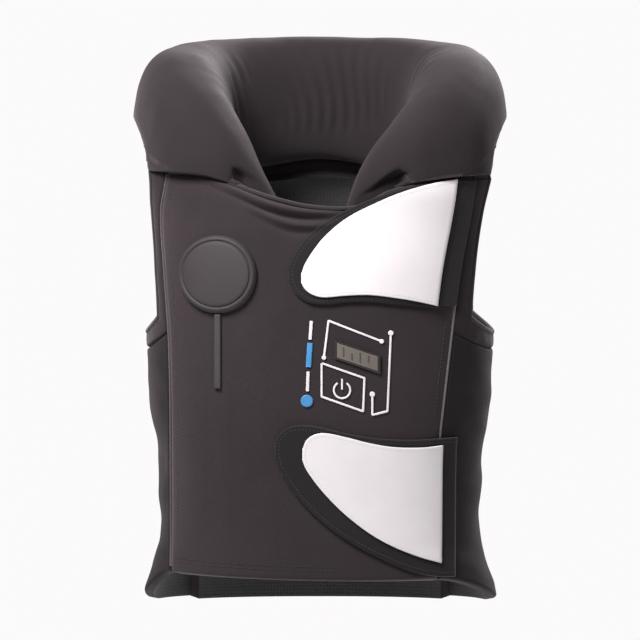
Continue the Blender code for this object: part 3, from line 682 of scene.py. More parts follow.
def coated(name, colour, roughness):
    """Smooth coated fabric: a faint leathery grain, soft scuffs and a light gloss."""
    made, tree, shader = finish_nodes(name)
    object_at = tree.nodes.new("ShaderNodeTexCoord").outputs["Object"]
    large = noise_node(tree, 16.0, 4.0, 0.6, object_at)
    grain = noise_node(tree, 900.0, 2.0, 0.5, object_at)
    scuff = noise_node(tree, 60.0, 5.0, 0.7, object_at)
    tree.links.new(ramp(tree, large, shade(colour, 0.93), shade(colour, 1.02)),
                   shader.inputs["Base Color"])
    rough = math_node(tree, "MULTIPLY_ADD", scuff, 0.25)
    rough.node.inputs[2].default_value = roughness - 0.12
    tree.links.new(rough, shader.inputs["Roughness"])
    normal = bump_node(tree, grain, 0.35, 0.00008)
    normal = bump_node(tree, large, 0.2, 0.0012, normal)
    tree.links.new(normal, shader.inputs["Normal"])
    shader.inputs["Coat Weight"].default_value = 0.08
    shader.inputs["Coat Roughness"].default_value = 0.35
    return made


def moulded(name, colour, roughness, grain_size=700.0, grain_depth=0.00006, uneven=0.12):
    """Moulded rubber, foam or plastic: a fine grain and slightly uneven tone."""
    made, tree, shader = finish_nodes(name)
    object_at = tree.nodes.new("ShaderNodeTexCoord").outputs["Object"]
    large = noise_node(tree, 30.0, 3.0, 0.6, object_at)
    grain = noise_node(tree, grain_size, 2.0, 0.5, object_at)
    tree.links.new(ramp(tree, large, shade(colour, 1.0 - uneven), shade(colour, 1.0 + uneven)),
                   shader.inputs["Base Color"])
    rough = math_node(tree, "MULTIPLY_ADD", grain, 0.2)
    rough.node.inputs[2].default_value = roughness - 0.1
    tree.links.new(rough, shader.inputs["Roughness"])
    tree.links.new(bump_node(tree, grain, 0.4, grain_depth), shader.inputs["Normal"])
    return made


def spacer_mesh(name, colour):
    """Lining of open spacer mesh: small round holes in rows."""
    made, tree, shader = finish_nodes(name)
    uv = tree.nodes.new("ShaderNodeUVMap")
    uv.uv_map = "cloth"
    cells = tree.nodes.new("ShaderNodeTexVoronoi")
    cells.inputs["Scale"].default_value = 300.0
    cells.inputs["Randomness"].default_value = 0.25
    tree.links.new(uv.outputs["UV"], cells.inputs["Vector"])
    colours = ramp(tree, cells.outputs["Distance"], shade(colour, 0.35), shade(colour, 1.3),
                   0.18, 0.42)
    tree.links.new(colours, shader.inputs["Base Color"])
    tree.links.new(bump_node(tree, cells.outputs["Distance"], 0.7, 0.0006),
                   shader.inputs["Normal"])
    shader.inputs["Roughness"].default_value = 0.9
    shader.inputs["Sheen Weight"].default_value = 0.15
    return made


PANEL = cloth("panel_knit", (0.0162, 0.0116, 0.0136), 0.0016, 0.00012, sheen=0.15, uneven=0.20)
SIDE = cloth("side_knit", (0.0075, 0.0066, 0.0075), 0.0016, 0.00012, roughness=0.9, sheen=0.06)
COLLAR = cloth("collar_knit", (0.0110, 0.0078, 0.0090), 0.0016, 0.00010, sheen=0.11,
               uneven=0.20)
FLAP = cloth("flap_laminate", (0.0070, 0.0062, 0.0068), 0.0011, 0.00010, roughness=0.85,
             sheen=0.10)
ANCHOR = cloth("anchor_webbing", (0.0120, 0.0110, 0.0115), 0.0022, 0.0003, roughness=0.8,
               sheen=0.12)
BINDING = cloth("edge_binding", (0.0150, 0.0125, 0.0135), 0.0012, 0.00012, sheen=0.2)
LINING = spacer_mesh("lining_mesh", (0.014, 0.013, 0.014))
PATCH = coated("coated_white", (0.63, 0.60, 0.615), 0.45)
RUBBER = moulded("valve_foam", (0.0180, 0.0134, 0.0150), 0.72)
STRIP = moulded("strip_rubber", (0.026, 0.022, 0.024), 0.7)
THREAD = moulded("thread_dark", (0.030, 0.027, 0.028), 0.7, 1500.0)
THREAD_LIGHT = moulded("thread_white", (0.50, 0.48, 0.50), 0.7, 1500.0)
PIPING = cloth("seam_piping", (0.045, 0.038, 0.040), 0.0010, 0.0001, sheen=0.25)
# The same piping made about three times lighter: a painted highlight for the lit left edge of the
# front panel.
PIPING_PAINTED_HIGHLIGHT = cloth("edge_piping_painted_highlight", (0.125, 0.112, 0.116), 0.0010, 0.0001, sheen=0.25)
PRINT = moulded("print_white", (0.62, 0.56, 0.58), 0.5, 1200.0, 0.00003)
PRINT_BLUE = moulded("print_blue", (0.040, 0.20, 0.42), 0.5, 1200.0, 0.00003)
BEZEL = moulded("display_bezel", (0.018, 0.016, 0.016), 0.35, 900.0, 0.00003)
SCREEN = moulded("display_screen", (0.115, 0.100, 0.088), 0.22, 400.0, 0.00001)
SEGMENT = moulded("display_segment", (0.050, 0.045, 0.042), 0.35, 900.0, 0.00002)


# The padded panels

EDGE = 0.0042                # radius of the rolled edges of the padded panels
FRONT_GRID = (176, 230)      # columns and rows
BACK_GRID = (150, 190)
SIDE_GRID = (84, 120)


def soft_uneven(at, size, height, seed):
    return bumps(at, size, seed) * height


def front_panel():
    columns, rows = FRONT_GRID
    across = crowd(columns)[None, :]
    share = crowd(rows, 0.5)[:, None]
    i = share * (LOWER_ROWS + FRONT_UPPER_ROWS)
    right = front_corner(-1)[0]
    left = front_corner(1)[0]
    low = np.array(-FRONT_LENGTH)
    top = neckline(mix(right, left, across))
    hem = front_hem(mix(front_seam(-1, low), front_seam(1, low), across))
    z = panel_height(hem, top, i, FRONT_UPPER_ROWS, FRONT_CROWDING)
    x = mix(front_seam(-1, z), front_seam(1, z), across)
    at = front_face(x, z)
    normal = outward(front_face, x, z)
    width = front_seam(1, z) - front_seam(-1, z)
    near = np.minimum(np.minimum(across * width, (1 - across) * width),
                      np.minimum(z - hem, top - z))
    calm = smooth(near / 0.03)
    uneven = soft_uneven(at * np.array((1.0, 1.0, 0.6)), 0.045, 0.0011, 3.1) * calm
    uneven += soft_uneven(at, 0.016, 0.00035, 8.7) * calm
    raised = swag(x, z) - rolled(near, EDGE) + uneven * under_flaps(x, z)
    outer = at + normal * raised[..., None]
    inner = at - normal * FRONT_THICKNESS
    uv = np.stack((x, z), axis=-1)
    piece = shell("front_panel_cloth", outer, inner, uv, [PANEL, LINING])
    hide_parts("front_panel")


def under_flaps(x, z):
    """1 on the open chest, 0 under what lies on it, where the chest stays as in the CAD."""
    drop = -z / BACK_LENGTH
    upper = smooth((x + 0.045) / 0.02) * smooth((0.37 - drop) / 0.03)
    lower = smooth((x + 0.060) / 0.02) * smooth((drop - 0.57) / 0.03)
    control = smooth((x + 0.025) / 0.02) * smooth((drop - 0.30) / 0.03) * smooth((0.66 - drop) / 0.03)
    away = np.hypot(x - VALVE_ACROSS, z + VALVE_DROP)
    valve = 1.0 - smooth((away - VALVE_RADIUS) / 0.015)
    strip = 1.0 - smooth((np.abs(x - VALVE_ACROSS) - STRIP_WIDTH) / 0.01)
    return 1.0 - np.clip(upper + lower + control + valve + strip, 0.0, 1.0) * 0.85


def back_panel():
    columns, rows = BACK_GRID
    across = crowd(columns)[None, :]
    i = crowd(rows, 0.5)[:, None] * (LOWER_ROWS + BACK_UPPER_ROWS)
    x = mix(-BACK_SEAM, BACK_SEAM, across)
    top = back_top(x)
    z = panel_height(-BACK_LENGTH, top, i, BACK_UPPER_ROWS, BACK_CROWDING)
    x = x + np.zeros_like(z)
    at = back_face(x, z)
    normal = outward(back_face, x, z)
    near = np.minimum(BACK_SEAM - np.abs(x), z + BACK_LENGTH)
    calm = smooth(np.minimum(near, top - z) / 0.03)
    uneven = soft_uneven(at * np.array((1.0, 1.0, 0.6)), 0.05, 0.0012, 5.2) * calm
    raised = uneven - rolled(near, EDGE) + spine_pad(x, z)
    outer = at + normal * raised[..., None]
    inner = at - normal * BACK_THICKNESS
    uv = np.stack((x, z), axis=-1)
    piece = shell("back_panel_cloth", outer, inner, uv, [PANEL, LINING])
    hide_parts("back_panel")


SPINE_CHANNELS = (-0.105, -0.165, -0.225, -0.285, -0.335)    # heights of the flex channels


def spine_half_width(z):
    """Half the width of the stitched outline of the back pad."""
    share = np.clip((-z - 0.045) / 0.33, 0.0, 1.0)
    return 0.078 - 0.022 * smooth(share) + 0.006 * np.sin(share * math.pi)


def spine_pad(x, z):
    """The back pad shows as a stitched channel round a shield shape."""
    inside = spine_half_width(z) - np.abs(x)
    ends = np.minimum(-z - 0.045, z + 0.375)
    near = np.minimum(inside, ends)
    channel = -0.0020 * np.exp(-(near / 0.0024) ** 2)
    crown = 0.0016 * smooth(near / 0.02)
    within = smooth((near - 0.004) / 0.006)
    for level in SPINE_CHANNELS:
        bow = level + 0.010 * (x / 0.07) ** 2
        channel = channel - 0.0018 * np.exp(-((z - bow) / 0.0028) ** 2) * within
    return channel + crown


def side_panel(name, side, node):
    place = side_face(side)
    columns, rows = SIDE_GRID
    across = crowd(columns)[None, :] + np.zeros((rows, 1))
    share = crowd(rows)[:, None]
    hem = side_hem(side, across)
    top = underarm(across)
    z = mix(hem, top, share)
    first, last = side_angles(side, z)
    angle = mix(first, last, across)
    at = place(angle, z)
    normal = outward(place, angle, z)
    width = 2 * ARMHOLE_HALF
    near = np.minimum(np.minimum(across * width, (1 - across) * width),
                      np.minimum(z - hem, top - z))
    calm = smooth(near / 0.02)
    creases = np.sin(z / 0.0105 + 2.2 * bumps(at, 0.05, 1.7 + side)) * 0.0007
    uneven = soft_uneven(at * np.array((1.0, 0.5, 1.4)), 0.03, 0.0016, 2.4 + side) + creases
    raised = uneven * calm - rolled(near, EDGE * 0.8)
    outer = at + normal * raised[..., None]
    inner = at - normal * SIDE_THICKNESS
    uv = np.stack((at[..., 1], z), axis=-1)
    piece = shell(name, outer, inner, uv, [SIDE, LINING])
    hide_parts(node)


def band_path(side):
    place = side_face(side)
    i = np.linspace(FRONT_UPPER_ROWS, 0.0, 90)
    z = panel_height(0.0, front_corner(side)[1], LOWER_ROWS + i, FRONT_UPPER_ROWS,
                     FRONT_CROWDING)
    angle = -side_angle(front_seam(side, z), z, FRONT_SQUARENESS)
    front = np.stack((angle + slide(place, angle, z, SEAM_GAP), z), axis=1)[:-1]
    across = np.linspace(0.0, 1.0, 70)
    z = underarm(across)
    first, last = side_angles(side, z)
    under = np.stack((mix(first, last, across), z + SEAM_GAP), axis=1)
    i = np.linspace(0.0, BACK_UPPER_ROWS, 70)
    z = panel_height(0.0, -BACK_CORNER_DROP, LOWER_ROWS + i, BACK_UPPER_ROWS, BACK_CROWDING)
    angle = side_angle(BACK_SEAM, z, BACK_SQUARENESS)
    back = np.stack((angle - slide(place, angle, z, SEAM_GAP), z), axis=1)[1:]
    return np.concatenate((front, under, back))


def band_free_edge(path):
    angle, z = path[:, 0], path[:, 1]
    share = np.linspace(0.0, 1.0, len(path))
    top = mix(z[0], z[-1], smooth(share))
    narrow = 1.0 - BAND_WIDTH / ARMHOLE_HALF
    shallow = 1.0 - BAND_WIDTH / (ARMHOLE_DEPTH + ARMHOLE_SAG)
    return angle * narrow, top + (z - top) * shallow


def armhole_band(name, side, node):
    place = side_face(side)
    path = band_path(side)
    end_angle, end_z = band_free_edge(path)
    across = crowd(16)[None, :]
    angle = mix(path[:, :1], end_angle[:, None], across)
    z = mix(path[:, 1:], end_z[:, None], across)
    at = place(angle, z)
    normal = outward(place, angle, z)
    near = np.minimum(across, 1.0 - across) * BAND_WIDTH
    run = np.linspace(0.0, 1.0, len(path))[:, None]
    ends = np.minimum(run, 1.0 - run) * 0.4
    near = np.minimum(near, ends)
    raised = 0.0006 * np.sin(math.pi * across) - rolled(near, EDGE * 0.8)
    raised = raised + soft_uneven(at, 0.012, 0.0004, 6.3 + side)
    outer = at + normal * raised[..., None]
    inner = at - normal * BAND_THICKNESS
    uv = np.stack((across * BAND_WIDTH + 0 * run, run * 0.42 + 0 * across), axis=-1)
    piece = shell(name, outer, inner, uv, [COLLAR, LINING])
    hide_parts(node)


def yoke_outer(side, share):
    path = band_path(side)
    end_angle, end_z = band_free_edge(path)
    place = side_face(side)
    front = abs(float(place(end_angle[0], end_z[0])[0]))
    back = abs(float(place(end_angle[-1], end_z[-1])[0]))
    return np.where(share < 0.5, mix(front, YOKE_OUTER, smooth(share * 2)),
                    mix(YOKE_OUTER, back, smooth(share * 2 - 1)))


def yoke_net(side, across, share):
    """Places along the shoulder arch: across from the neck edge, share from front to back."""
    corner_x, corner_z = front_corner(side)
    outer_x = yoke_outer(side, share)
    x = side * mix(YOKE_INNER, outer_x, across)
    front_z = np.where(np.abs(x) < abs(corner_x), neckline(x), corner_z)
    start = arch_angle(front_z + YOKE_GAP)
    back_z = back_top(np.minimum(np.abs(x), BACK_SEAM))
    end = math.pi - arch_angle(back_z + YOKE_GAP)
    return x, mix(start, end, share), outer_x


def yoke(name, side, node):
    across = crowd(60)[None, :]
    share = crowd(120)[:, None]
    x, turn, outer_x = yoke_net(side, across, share)
    at = arch_face(x, turn)
    normal = outward(arch_face, x, turn)
    near = np.minimum(np.minimum(across, 1 - across) * (YOKE_OUTER - YOKE_INNER),
                      np.minimum(share, 1 - share) * 2 * ARMHOLE_HALF)
    raised = soft_uneven(at, 0.02, 0.0006, 4.4 + side) * smooth(near / 0.01)
    raised = raised - rolled(near, EDGE * 0.7)
    outer = at + normal * raised[..., None]
    inner = at - normal * YOKE_THICKNESS
    uv = np.stack((x + 0 * share, share * 0.24 + 0 * across), axis=-1)
    piece = shell(name, outer, inner, uv, [COLLAR, LINING])
    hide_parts(node)


# Collar

def seat_height(x, y):
    """Height of the body's outer face under points, and where it reaches them at all."""
    def reaches(z):
        depth = np.where(y > 0, np.abs(back_face(x, z)[..., 1]), np.abs(front_face(x, z)[..., 1]))
        return depth >= np.abs(y)
    steps = 24
    above = np.full(x.shape, TOP)
    below = np.full(x.shape, np.nan)
    found = np.zeros(x.shape, bool)
    for i in range(1, steps + 1):
        z = np.full(x.shape, mix(TOP, -ARMHOLE_DEPTH / 2, (i / steps) ** 2))
        here = reaches(z) & ~found
        below = np.where(here, z, below)
        found = found | here
        above = np.where(found, above, z)
    low = np.where(found, below, -1.0)
    for _ in range(16):
        middle = (low + above) / 2
        inside = reaches(middle)
        low = np.where(inside, middle, low)
        above = np.where(inside, above, middle)
    return low, found


def clear_of_body(x, y, z, height):
    ahead = y < 0
    wall = front_face(x, np.minimum(z, -SHOULDER_DROP))[..., 1] + FRONT_THICKNESS + COLLAR_WALL_GAP
    above = np.maximum(z - neckline(x) - FRONT_THICKNESS, 0.0)
    past = smooth((np.abs(x) / YOKE_INNER - COLLAR_SPILL_START) / COLLAR_SPILL)
    y = np.where(ahead, np.maximum(y, wall - COLLAR_LEAN * above - past * COLLAR_SPILL_DEPTH), y)
    beside = smooth((np.abs(x) / YOKE_INNER - COLLAR_TUCK) / (COLLAR_FIRM - COLLAR_TUCK))
    firm = np.where(ahead, beside, 1.0)
    front_floor = neckline(x) + np.where(x < 0, COLLAR_FRONT_GAP, COLLAR_FLAP_GAP)
    floor = np.where(y < 0, front_floor, back_top(x) + COLLAR_BACK_GAP)
    seat, found = seat_height(x, y)
    seated = np.where(found, np.maximum(floor, seat + COLLAR_SEAT_GAP), floor)
    floor = np.where(y < 0, seated, mix(floor, seated, beside))
    lip = np.where(height > 0, COLLAR_LIP, COLLAR_UNDER) * height
    at = points(x, y, mix(z, np.maximum(z, floor + lip), firm))
    return at, (at[..., 2] - floor), firm


def collar_points(azimuth, around):
    """Points on the collar's tube at azimuths in degrees and turns round the tube, with the
    lower edges rounded where the tube rests on the body."""
    reach, middle, top, width = read_table(COLLAR_TABLE, azimuth)
    turn = np.radians(azimuth)
    c = np.cos(around)
    s = np.sin(around)
    power = 2.0 / COLLAR_SQUARENESS
    half_width = width * COLLAR_HALF_WIDTH
    out = np.copysign(np.abs(c) ** power, c) * half_width
    up = np.copysign(np.abs(s) ** power, s) * (top - middle) * COLLAR_RISE

    def placed(out):
        radius = reach * COLLAR_REACH + out
        x = radius * np.sin(turn)
        y = NECK_AXIS_BACK + radius * np.cos(turn)
        return clear_of_body(x, y, middle * COLLAR_RISE + up, s)

    _, over, firm = placed(out)
    edge = np.minimum(COLLAR_ROUND, half_width * 0.45)
    beside = smooth((COLLAR_ROUND_END - np.abs(azimuth)) / COLLAR_ROUND_FADE)
    share = np.clip(1.0 - over / edge, 0.0, 1.0) * firm * beside
    inset = edge * (1.0 - np.sqrt(1.0 - 0.97 * share * share))
    return placed(out * (1.0 - inset / half_width))[0]


def collar():
    stations = 420
    sides = 96
    first = COLLAR_TABLE[0][0]
    last = COLLAR_TABLE[-1][0]
    azimuth = np.linspace(first, last, stations)[:, None]
    turn = np.linspace(0.0, 2 * math.pi, sides, endpoint=False)[None, :]
    around = turn - 0.10 * np.sin(4 * turn)
    azimuth = azimuth + np.zeros_like(around)
    around = around + np.zeros_like(azimuth)
    at = collar_points(azimuth, around)
    along = np.gradient(at, axis=0)
    round_ = (np.roll(at, -1, axis=1) - np.roll(at, 1, axis=1)) / 2
    normal = np.cross(round_, along)
    normal /= np.maximum(np.linalg.norm(normal, axis=-1, keepdims=True), 1e-9)
    middle = at.mean(axis=1, keepdims=True)
    if ((at - middle) * normal).sum() < 0:
        normal = -normal
    free = smooth((at[..., 2] - seat_level(at)) / 0.02)
    ends = smooth((163.0 - np.abs(azimuth)) / 12.0)
    inner_side = np.clip(-np.cos(around), 0.0, 1.0)
    pull = np.sin(np.radians(azimuth) * 38.0 + 8.0 * bumps(at, 0.07, 9.1))
    wrinkle = 0.0008 * pull * inner_side ** 2 * smooth((bumps(at, 0.05, 4.0) + 0.25) / 0.5)
    uneven = soft_uneven(at, 0.05, 0.0016, 1.3) + soft_uneven(at, 0.018, 0.0004, 7.7)
    at = at + normal * ((uneven + wrinkle) * free * ends)[..., None]
    verts = at.reshape(-1, 3)
    faces = grid_faces(stations, sides, wrap=True)
    faces = facing_out(verts, faces).tolist()
    for ring, start in ((0, 0), (stations - 1, (stations - 1) * sides)):
        centre = len(verts)
        verts = np.concatenate((verts, at[ring].mean(axis=0)[None, :]))
        for k in range(sides):
            a = start + k
            b = start + (k + 1) % sides
            faces.append((centre, b, a) if ring == 0 else (centre, a, b))
    run = np.radians(azimuth) * COLLAR_REACH
    girth = around * 0.042
    uv = np.concatenate((np.stack((run, girth), axis=-1).reshape(-1, 2), np.zeros((2, 2))))
    piece = add_object("collar_cover", verts, faces, [COLLAR], None, uv)
    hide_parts("collar")


def seat_level(at):
    seat, found = seat_height(at[..., 0], at[..., 1])
    return np.where(found, seat, -0.06)


# Layers on the chest

def chest(lift):
    def place(x, z):
        normal = outward(front_face, x, z)
        return front_face(x, z) + normal * (swag(x, z) + lift)[..., None]
    return place


def chest_points(x, z, lift):
    x = np.asarray(x, float)
    z = np.asarray(z, float)
    return chest(lift)(x, z), outward(front_face, x, z)


def layer_grid(table, tip, root, columns, rows):
    share = (np.linspace(0.0, 1.0, columns) ** FLAP_CROWDING)[:, None]
    upper, lower = read_table(table, share)
    z = -mix(upper, lower, crowd(rows)[None, :]) * BACK_LENGTH
    x = mix(tip, root(z), share)
    return x, z, upper, lower


def edge_distance(x, z):
    """Distance of each point of a net from the net's own border."""
    border_points = np.concatenate((
        np.stack((x[0], z[0]), 1), np.stack((x[-1], z[-1]), 1),
        np.stack((x[:, 0], z[:, 0]), 1), np.stack((x[:, -1], z[:, -1]), 1),
    ))
    dx = x[..., None] - border_points[:, 0]
    dz = z[..., None] - border_points[:, 1]
    return np.sqrt(dx * dx + dz * dz).min(axis=-1)


def layer(name, node, table, tip, root, thickness, lift, finishes, slot, roll, size=(130, 64)):
    x, z, _, _ = layer_grid(table, tip, root, *size)
    at, normal = chest_points(x, z, lift)
    near = edge_distance(x, z)
    top = thickness - rolled(near, roll)
    outer = at + normal * top[..., None]
    inner = at - normal * 0.0002
    uv = np.stack((x, z), axis=-1)
    piece = shell(name, outer, inner, uv, finishes)
    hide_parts(node)
    return piece, x, z


def anchor_line(z):
    return front_seam(1, z) - ANCHOR_WIDTH - LAYER_GAP


def cloth_area(x, z):
    """Flat size and area of a layer from its net."""
    at, _ = chest_points(x, z, 0.0)
    a = at[:-1, :-1]
    b = at[1:, :-1]
    c = at[1:, 1:]
    d = at[:-1, 1:]
    area = (np.linalg.norm(np.cross(b - a, d - a), axis=-1)
            + np.linalg.norm(np.cross(b - c, d - c), axis=-1)).sum() / 2
    middle = at[:, at.shape[1] // 2]
    length = np.linalg.norm(np.diff(middle, axis=0), axis=-1).sum()
    height = max(area / length, float(z.max() - z.min()))
    return (float(length), float(height)), float(area)


def flaps():
    base = LAYER_GAP
    over = base + FLAP_THICKNESS + LAYER_GAP
    upper, x, z = layer("upper_flap_sheet", "upper_flap", UPPER_FLAP, UPPER_FLAP_TIP, anchor_line,
                        FLAP_THICKNESS, base, [FLAP], "flap_fabric", 0.0016)
    flat, area = cloth_area(x, z)
    lower, x, z = layer("lower_flap_sheet", "lower_flap", LOWER_FLAP, LOWER_FLAP_TIP,
                        lambda z: front_seam(1, z) + LOWER_FLAP_OVERLAP, FLAP_THICKNESS, base,
                        [FLAP], "flap_fabric", 0.0016)
    flat, area = cloth_area(x, z)
    patch, x, z = layer("upper_patch_sheet", "upper_flap_patch", UPPER_PATCH, UPPER_PATCH_TIP,
                        lambda z: anchor_line(z) - LAYER_GAP, PATCH_THICKNESS, over, [PATCH],
                        "coated_patch", 0.0009)
    flat, area = cloth_area(x, z)
    patch, x, z = layer("lower_patch_sheet", "lower_flap_patch", LOWER_PATCH, LOWER_PATCH_TIP,
                        lambda z: front_seam(1, z), PATCH_THICKNESS, over, [PATCH],
                        "coated_patch", 0.0009)
    flat, area = cloth_area(x, z)


def anchor():
    across = crowd(28)[None, :]
    share = crowd(110)[:, None]
    z = -mix(UPPER_PATCH[-1][1], UPPER_PATCH[-1][2], share) * BACK_LENGTH + 0 * across
    x = mix(anchor_line(z) + LAYER_GAP, front_seam(1, z), across)
    at, normal = chest_points(x, z, LAYER_GAP)
    near = edge_distance(x, z)
    outer = at + normal * (ANCHOR_THICKNESS - rolled(near, 0.001))[..., None]
    inner = at - normal * 0.0002
    piece = shell("anchor_webbing", outer, inner, np.stack((x, z), axis=-1), [ANCHOR])
    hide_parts("upper_flap_anchor")


VALVE_PROFILE = [
    # radius as a share of VALVE_RADIUS, height as a share of VALVE_THICKNESS
    (0.00, 1.00),
    (0.30, 0.99),
    (0.60, 0.96),
    (0.76, 0.92),
    (0.81, 0.86),
    (0.845, 0.64),
    (0.88, 0.82),
    (0.92, 0.80),
    (0.96, 0.62),
    (1.00, 0.25),
]


def valve_cover():
    """A round padded cover with a soft rim and a shallow groove inside it."""
    keys, heights = np.array(VALVE_PROFILE).T
    radii = np.concatenate((np.linspace(0.0, 0.7, 10)[1:], np.linspace(0.72, 1.0, 26)))
    sides = 128
    turn = np.linspace(0, 2 * math.pi, sides, endpoint=False)[None, :]
    r = radii[:, None] * VALVE_RADIUS
    x = VALVE_ACROSS + r * np.cos(turn)
    z = -VALVE_DROP + r * np.sin(turn)
    at, normal = chest_points(x, z, LAYER_GAP)
    height = np.interp(radii, keys, heights)[:, None] * VALVE_THICKNESS
    outer = at + normal * height[..., None]
    skirt = at[-1] - normal[-1] * 0.0006
    verts = np.concatenate((outer.reshape(-1, 3), skirt))
    faces = facing_out(verts, grid_faces(len(radii) + 1, sides, wrap=True))
    centre, up = chest_points(np.array([VALVE_ACROSS]), np.array([-VALVE_DROP]), LAYER_GAP)
    verts = np.concatenate((verts, centre + up * heights[0] * VALVE_THICKNESS, centre))
    faces = faces.tolist()
    top = len(verts) - 2
    first = faces[0]
    ordered = first.index(0) < first.index(1) if 0 in first and 1 in first else True
    for k in range(sides):
        m = (k + 1) % sides
        faces.append((top, m, k) if ordered else (top, k, m))
    uv = np.zeros((len(verts), 2))
    piece = add_object("valve_cover_pad", verts, faces, [RUBBER], None, uv)
    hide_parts("valve_cover")


def plate_net(across, drop, width, height, slant, columns, rows):
    aside = (crowd(columns) - 0.5)[None, :] * width + np.zeros((rows, 1))
    x = across + aside
    z = -drop + (crowd(rows) - 0.5)[:, None] * height - slant * aside
    return x, z


def plate(name, node, net, thickness, finish, roll):
    x, z = net
    at, normal = chest_points(x, z, LAYER_GAP)
    near = edge_distance(x, z)
    outer = at + normal * (thickness - rolled(near, roll))[..., None]
    inner = at - normal * 0.0006
    piece = shell(name, outer, inner, np.stack((x, z), axis=-1), [finish])
    if node:
        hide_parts(node)
    return piece


def small_parts():
    strip_drop = VALVE_DROP + VALVE_RADIUS + LAYER_GAP + STRIP_LENGTH / 2
    plate("cover_strip_rubber", "cover_strip",
          plate_net(VALVE_ACROSS, strip_drop, STRIP_WIDTH, STRIP_LENGTH, 0.0, 18, 60),
          STRIP_THICKNESS, STRIP, 0.0012)
    plate("display_bezel", "display_window",
          plate_net(DISPLAY_ACROSS, DISPLAY_DROP, DISPLAY_WIDTH, DISPLAY_HEIGHT, DISPLAY_SLANT,
                    50, 26), DISPLAY_THICKNESS, BEZEL, 0.0008)


def photo(px, py):
    """A place on the chest from a pixel of the photograph, 3 mm a pixel."""
    return (px - 338.0) * 0.003, (243.0 - py) * 0.003


def ribbon(name, spots, width, finish, lift=0.0009, height=0.00022, closed=False, slot="print"):
    """A printed line on the chest through pixel places."""
    flat = [photo(*spot) for spot in spots]
    if closed:
        flat.append(flat[0])
    path = evenly([(x, z, 0.0) for x, z in flat], 0.0006)
    at, normal = chest_points(path[:, 0], path[:, 1], lift)
    return tube(name, at, width / 2, finish, 8, False, height / width * 2, normal)


def dot(name, spot, radius, finish, lift=0.0009, height=0.0003, slot="print"):
    """A printed round dot on the chest."""
    x0, z0 = photo(*spot)
    turn = np.linspace(0, 2 * math.pi, 40, endpoint=False)[None, :]
    shares = np.array((0.5, 0.85, 1.0, 1.0))[:, None]
    x = x0 + radius * shares * np.cos(turn)
    z = z0 + radius * shares * np.sin(turn)
    at, normal = chest_points(x, z, lift)
    rises = np.array((1.0, 1.0, 0.6, -2.0))[:, None, None] * height
    verts = (at + normal * rises).reshape(-1, 3)
    faces = facing_out(verts, grid_faces(4, 40, wrap=True)).tolist()
    first = faces[0]
    inner = list(range(40))
    faces.append(inner if first.index(0) > first.index(1) else inner[::-1])
    return add_object(name, verts, faces, [finish])


def prints():
    line = 0.0020
    made = [
        ribbon("print_line_upper", [(339.2, 306.5), (340.6, 295.3), (356.7, 301.6)], line, PRINT),
        ribbon("print_line_side", [(359.5, 299.1), (358.5, 322.9), (353.9, 324.0),
                                   (353.9, 317.7)], line, PRINT),
        ribbon("print_button_frame", [(338.5, 308.2), (351.5, 312.8), (351.1, 322.9),
                                      (338.5, 318.4)], line, PRINT, closed=True),
        ribbon("print_bar_top", [(335.4, 295.3), (335.0, 301.0)], 0.0030, PRINT),
        ribbon("print_bar_low", [(334.4, 310.7), (334.2, 316.7)], 0.0030, PRINT),
        dot("print_dot_upper_start", (339.2, 306.5), 0.0021, PRINT),
        dot("print_dot_upper_end", (356.7, 301.6), 0.0021, PRINT),
        dot("print_dot_side_top", (359.5, 299.1), 0.0024, PRINT),
        dot("print_dot_side_end", (353.9, 317.7), 0.0024, PRINT),
    ]
    turn = np.radians(np.linspace(-58, 238, 40)) - math.pi
    arc = [(344.7 + 2.5 * math.cos(a), 316.4 + 2.5 * -math.sin(a)) for a in turn]
    made.append(ribbon("print_power_ring", arc, 0.0018, PRINT))
    made.append(ribbon("print_power_bar", [(344.7, 312.9), (344.7, 316.2)], 0.0018, PRINT))
    made = [
        ribbon("print_bar_blue", [(335.0, 302.0), (334.5, 309.4)], 0.0052, PRINT_BLUE),
        dot("print_dot_blue", (334.0, 319.7), 0.0056, PRINT_BLUE),
    ]


def display():
    """The screen in its bezel, with a few faint bars of the display."""
    x, z = plate_net(DISPLAY_ACROSS, DISPLAY_DROP, DISPLAY_WIDTH * 0.88, DISPLAY_HEIGHT * 0.78,
                     DISPLAY_SLANT, 40, 20)
    at, normal = chest_points(x, z, LAYER_GAP + DISPLAY_THICKNESS)
    near = edge_distance(x, z)
    outer = at + normal * (0.0003 - rolled(near, 0.0003))[..., None]
    piece = shell("display_screen", outer, at - normal * 0.0004, np.stack((x, z), -1), [SCREEN])
    for k, (share, low, high) in enumerate(((-0.30, -0.28, 0.28), (-0.12, -0.28, 0.10),
                                            (0.06, -0.28, 0.28), (0.24, -0.10, 0.28))):
        aside = share * DISPLAY_WIDTH
        ends = np.array((low, high)) * DISPLAY_HEIGHT
        path = evenly([(DISPLAY_ACROSS + aside, -DISPLAY_DROP + e - DISPLAY_SLANT * aside, 0.0)
                       for e in ends], 0.0006)
        at, normal = chest_points(path[:, 0], path[:, 1], LAYER_GAP + DISPLAY_THICKNESS + 0.0003)
        bar = tube(f"display_segment_{k}", at, 0.0008, SEGMENT, 8, False, 0.15, normal)


# Edges and threads

def armhole_edge(side):
    """The closed edge of an armhole: round the yoke's arm edge and the band's free edge."""
    place = side_face(side)
    path = band_path(side)
    end_angle, end_z = band_free_edge(path)
    low = place(end_angle, end_z)
    low_normal = outward(place, end_angle, end_z)
    share = np.linspace(1.0, 0.0, 90)[:, None]
    x, turn, _ = yoke_net(side, np.array([[1.0]]), share)
    over = arch_face(x, turn)[:, 0]
    over_normal = outward(arch_face, x, turn)[:, 0]
    return low, low_normal, over, over_normal


